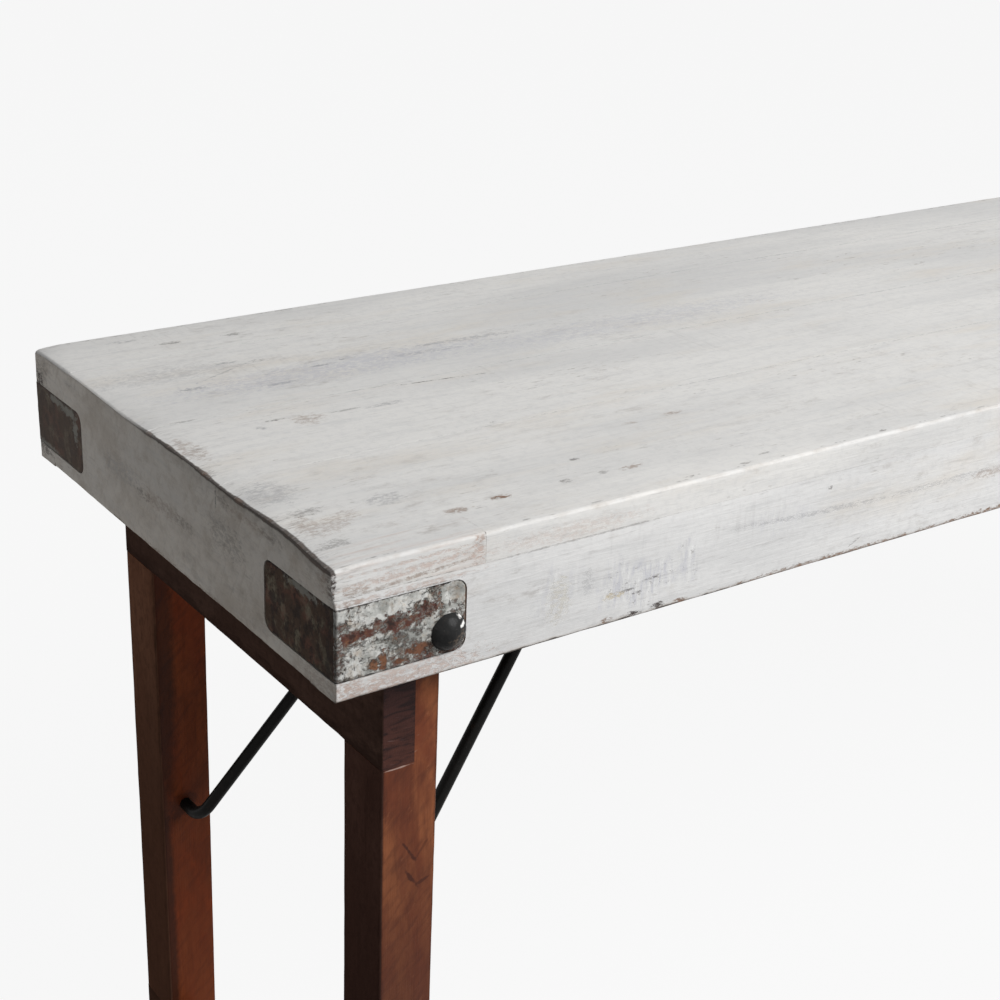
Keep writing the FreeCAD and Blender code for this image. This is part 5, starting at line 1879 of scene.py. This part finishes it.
@dataclass
class LegFrame(SubAssembly):
    """Two tapered legs, the rail and the stretcher lapped into them, and their brace."""

    side: Side = Side.LEFT
    outer_round: float = 2.6 * MM
    inner_round: float = 1.0 * MM
    rail_round: float = 0.4 * MM
    segment: float = 9.0 * MM
    wear_reach: float = 7.0 * MM
    wave_depth: float = 0.4 * MM
    dent_depth: float = 0.5 * MM
    foot_narrowing: float = 4.0 * MM
    front_swell: float = 0.8 * MM
    back_swell: float = 3.0 * MM
    edge_reach: float = 4.5 * MM
    wave_grain: float = 70.0 * MM
    dent_grain: float = 13.0 * MM
    wear_level: float = 0.8
    tallest_rail: float = 0.2
    lap_start: float = 140.0 * MM
    lap_room: float = 0.03 * MM
    lap_overrun: float = 20.0 * MM
    long_edge: float = 0.5

    @property
    def end(self) -> str:
        """The end of the table, as the nodes name it."""
        return self.side.name.lower()

    def batter(self, piece: Piece, block: Block) -> None:
        """Make a board's edges uneven.

        Args:
            piece: the board.
            block: its box.
        """
        def near_edge(point: Vector) -> float:
            """How near an edge that is free a point is, from 0 to 1."""
            lapped = block.high.z - block.low.z < self.tallest_rail and abs(point.y) > self.lap_start
            return 0.0 if lapped else max(0.0, 1.0 - block.edge_gap(point)[0] / self.edge_reach)

        group = Bench.weigh(piece, "edges", near_edge)
        Bench.uneven(piece, "handled_waves", self.wave_grain, self.wave_depth, self.wear_level, group)
        Bench.uneven(piece, "handled_dents", self.dent_grain, self.dent_depth, self.wear_level, group)
        piece.vertex_groups.clear()

    def note_wear(self, piece: Piece, block: Block) -> None:
        """Write how rubbed a board's edges are into its mesh."""
        Bench.note(piece, "wear", lambda point: max(0.0, 1.0 - block.edge_gap(point)[0] / self.wear_reach))

    def is_long(self, edge: bmesh.types.BMEdge) -> bool:
        """Whether an edge runs up a whole leg."""
        return abs(edge.verts[1].co.z - edge.verts[0].co.z) > self.long_edge

    def leg(self, node: str) -> None:
        """One leg: tapered, rounded, worn, then cut for its laps.

        Args:
            node: the node that gives its place.
        """
        block = Block.of(node)
        sign = self.side.value
        swell = self.front_swell if block.low.y < 0 else self.back_swell
        if sign < 0:
            block.high.x += swell
        else:
            block.low.x -= swell
        inner = block.high.x if sign < 0 else block.low.x
        piece = Bench.cube(f"{node}_post", block)
        with Bench.editing(piece):
            Bench.pick(piece, Kind.EDGE, lambda edge: (
                Bench.runs_along(edge, Axis.Y) and abs(edge.verts[0].co.x - inner) < TOUCH
                and edge.verts[0].co.z < TOUCH))
            bpy.ops.transform.translate(value=(sign * self.foot_narrowing, 0.0, 0.0))
            middle = (block.low.x + block.high.x) / 2
            for radius, side in ((self.outer_round, sign), (self.inner_round, -sign)):
                Bench.pick(piece, Kind.EDGE, lambda edge: (
                    self.is_long(edge) and (edge.verts[0].co.x - middle) * side > 0))
                bpy.ops.mesh.bevel(offset=radius, segments=ROUND_FLATS, affect="EDGES", clamp_overlap=False)
            Bench.pick(piece, Kind.EDGE, self.is_long)
            bpy.ops.mesh.subdivide(number_cuts=int((block.high.z - block.low.z) / self.segment))
        Bench.quarter(piece, block, Axis.Y)
        Bench.quarter(piece, block, Axis.X)
        self.batter(piece, block)
        for lap in (f"top_rail_{self.end}", f"stretcher_{self.end}"):
            hollow = Block.of(lap).grown((self.lap_room, self.lap_overrun, self.lap_room))
            Bench.carve(piece, Bench.cube("lap", hollow))
        # The outer faces take a darker copy of the stain, painted shade; the back legs take a redder, lighter
        # copy, painted light
        self.number_faces(piece, lambda face: face.normal.x * sign > LEG_FACING, 1)
        self.note_wear(piece, block)
        finishes = self.finishes
        coats = ((finishes.leg, finishes.leg_outside) if block.low.y < 0
                 else (finishes.back_leg, finishes.back_leg_outside))
        self.dress(piece, f"{self.end}_leg_frame", "stained_wood", [node], coats)

    def rail(self, node: str, outside: Material) -> None:
        """A rail or stretcher between the legs' outer faces.

        Args:
            node: the node that gives its place.
            outside: the finish of its outer face, a darker copy of the stain that paints shade.
        """
        block = Block.of(node)
        piece = Bench.cube(f"{node}_board", block)
        Bench.round_arrises(piece, block, [
            Arris(Axis.Y, (side, top), self.rail_round) for side in (-1, 1) for top in (-1, 1)] + [
            Arris(Axis.Z, (self.side.value, end), self.outer_round) for end in (-1, 1)])
        Bench.divide(piece, Axis.Y, int((block.high.y - block.low.y) / self.segment))
        Bench.quarter(piece, block, Axis.Z)
        self.batter(piece, block)
        self.number_faces(piece, lambda face: abs(face.normal.y) > FACING, 1)
        # The outer faces take the darker copy of the stain: painted shade
        self.number_faces(piece, lambda face: face.normal.x * self.side.value > RAIL_FACING, 2)
        self.note_wear(piece, block)
        self.dress(piece, f"{self.end}_leg_frame", "stained_wood", [node],
                   [self.finishes.rail, self.finishes.rail_end, outside])

    def build(self) -> None:
        """Model and dress the frame, and finish its screws and brace."""
        for place in ("front", "back"):
            self.leg(f"leg_{place}_{self.end}")
        self.rail(f"top_rail_{self.end}", self.finishes.rail_outside)
        self.rail(f"stretcher_{self.end}", self.finishes.stretcher_outside)
        self.paint(f"lap_screws_{self.end}", self.finishes.zinc)
        self.paint(f"brace_{self.end}", self.finishes.rod)


@dataclass
class Underside(SubAssembly):
    """Battens, their screws and the clips that keep the braces."""

    def build(self) -> None:
        """Finish what is under the top."""
        for place in ("left", "middle", "right"):
            self.paint(f"batten_{place}", self.finishes.batten)
        for end in ("left", "right"):
            self.paint(f"brace_keeper_{end}", self.finishes.zinc)
        for node in ("batten_screws", "keeper_screws"):
            self.paint(node, self.finishes.zinc)


@dataclass
class Lamp:
    """A soft light."""

    name: str
    place: Triple
    aim: Triple
    size: float
    watts: float

    def build(self) -> None:
        """Hang the lamp and point it."""
        data = bpy.data.lights.new(self.name, "AREA")
        data.shape = "DISK"
        data.size = self.size
        data.energy = self.watts
        lamp = bpy.data.objects.new(self.name, data)
        lamp.location = self.place
        lamp.rotation_euler = (Vector(self.aim) - Vector(self.place)).to_track_quat("-Z", "Y").to_euler()
        bpy.context.collection.objects.link(lamp)


@dataclass
class Studio:
    """Floor, background, lamps and camera."""

    white: float = 0.939
    ambient: float = 0.105
    floor_size: float = 60.0
    floor_glow: float = 1.02
    floor_shadow: float = 0.10
    floor_tone: float = 0.34
    lens: float = 64.69
    sensor: float = 36.0
    clip: tuple[float, float] = (0.05, 200.0)
    eye: Triple = (-1.35307, -1.01245, 1.18878)
    right: Triple = (0.82127, -0.56945, 0.03529)
    up: Triple = (0.19557, 0.33909, 0.92020)
    back: Triple = (-0.53598, -0.74883, 0.38985)
    lamps: tuple[Lamp, ...] = (
        Lamp("key", (0.92, -2.64, 3.20), (-0.5, 0.0, 0.72), 2.4, 192.0),
        Lamp("side_fill", (-1.55, 0.80, 0.58), (-0.9, 0.1, 0.55), 0.4, 0.8),
    )

    @staticmethod
    def seen_directly(nodes: bpy.types.Nodes, links: bpy.types.NodeLinks) -> Socket:
        """1 for rays that show the background: from the camera, in gloss and through glass.

        Args:
            nodes: the nodes of a world or material.
            links: their links.

        Returns:
            The 1 or 0 of a ray.
        """
        path = nodes.new("ShaderNodeLightPath")
        total = path.outputs["Is Camera Ray"]
        for name in ("Is Glossy Ray", "Is Transmission Ray"):
            most = nodes.new("ShaderNodeMath")
            most.operation = "MAXIMUM"
            links.new(total, most.inputs[0])
            links.new(path.outputs[name], most.inputs[1])
            total = most.outputs[0]
        return total

    def world(self) -> None:
        """A pale background that lights the table only dimly."""
        world = bpy.data.worlds.new("studio")
        bpy.context.scene.world = world
        world.use_nodes = True
        nodes, links = world.node_tree.nodes, world.node_tree.links
        nodes.clear()
        output = nodes.new("ShaderNodeOutputWorld")
        mixer = nodes.new("ShaderNodeMixShader")
        shown, dim = nodes.new("ShaderNodeBackground"), nodes.new("ShaderNodeBackground")
        shown.inputs["Color"].default_value = (self.white, self.white, self.white, 1.0)
        dim.inputs["Strength"].default_value = self.ambient
        dim.inputs["Color"].default_value = (1.0, 1.0, 1.0, 1.0)
        links.new(self.seen_directly(nodes, links), mixer.inputs[0])
        links.new(dim.outputs[0], mixer.inputs[1])
        links.new(shown.outputs[0], mixer.inputs[2])
        links.new(mixer.outputs[0], output.inputs["Surface"])

    def floor(self) -> None:
        """A wide pale floor that keeps a faint shadow."""
        bpy.ops.object.select_all(action="DESELECT")
        bpy.ops.mesh.primitive_plane_add(size=self.floor_size)
        floor = Bench.settle(bpy.context.active_object, "floor")
        material = bpy.data.materials.new("floor_paper")
        material.use_nodes = True
        nodes, links = material.node_tree.nodes, material.node_tree.links
        nodes.clear()
        output = nodes.new("ShaderNodeOutputMaterial")
        paper, glow = nodes.new("ShaderNodeBsdfDiffuse"), nodes.new("ShaderNodeEmission")
        paper.inputs["Color"].default_value = (self.floor_tone, self.floor_tone, self.floor_tone, 1.0)
        glow.inputs["Color"].default_value = (1.0, 1.0, 1.0, 1.0)
        glow.inputs["Strength"].default_value = self.floor_glow
        share = nodes.new("ShaderNodeMath")
        share.operation = "MULTIPLY"
        share.inputs[1].default_value = 1.0 - self.floor_shadow
        links.new(self.seen_directly(nodes, links), share.inputs[0])
        mixer = nodes.new("ShaderNodeMixShader")
        links.new(share.outputs[0], mixer.inputs[0])
        links.new(paper.outputs[0], mixer.inputs[1])
        links.new(glow.outputs[0], mixer.inputs[2])
        links.new(mixer.outputs[0], output.inputs["Surface"])
        floor.data.materials.append(material)

    def camera(self) -> None:
        """The camera, where the photograph was taken from."""
        data = bpy.data.cameras.new("photograph")
        data.lens = self.lens
        data.sensor_width = self.sensor
        data.sensor_fit = "HORIZONTAL"
        data.clip_start, data.clip_end = self.clip
        camera = bpy.data.objects.new("photograph", data)
        turn = Matrix((self.right, self.up, self.back)).transposed()
        camera.matrix_world = Matrix.Translation(self.eye) @ turn.to_4x4()
        bpy.context.collection.objects.link(camera)
        bpy.context.scene.camera = camera

    def build(self) -> None:
        """Set up the studio."""
        bpy.context.scene.view_settings.view_transform = "Standard"
        self.world()
        self.floor()
        self.camera()
        for lamp in self.lamps:
            lamp.build()


def main() -> None:
    """Build and dress the table."""
    logging.basicConfig(level=logging.INFO, format="%(message)s")
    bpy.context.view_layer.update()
    finishes = Finishes()
    TopBlock(finishes).build()
    CornerStraps(finishes).build()
    Pivots(finishes).build()
    for side in Side:
        LegFrame(finishes, side).build()
    Underside(finishes).build()
    Studio().build()


if __name__ == "__main__":
    main()
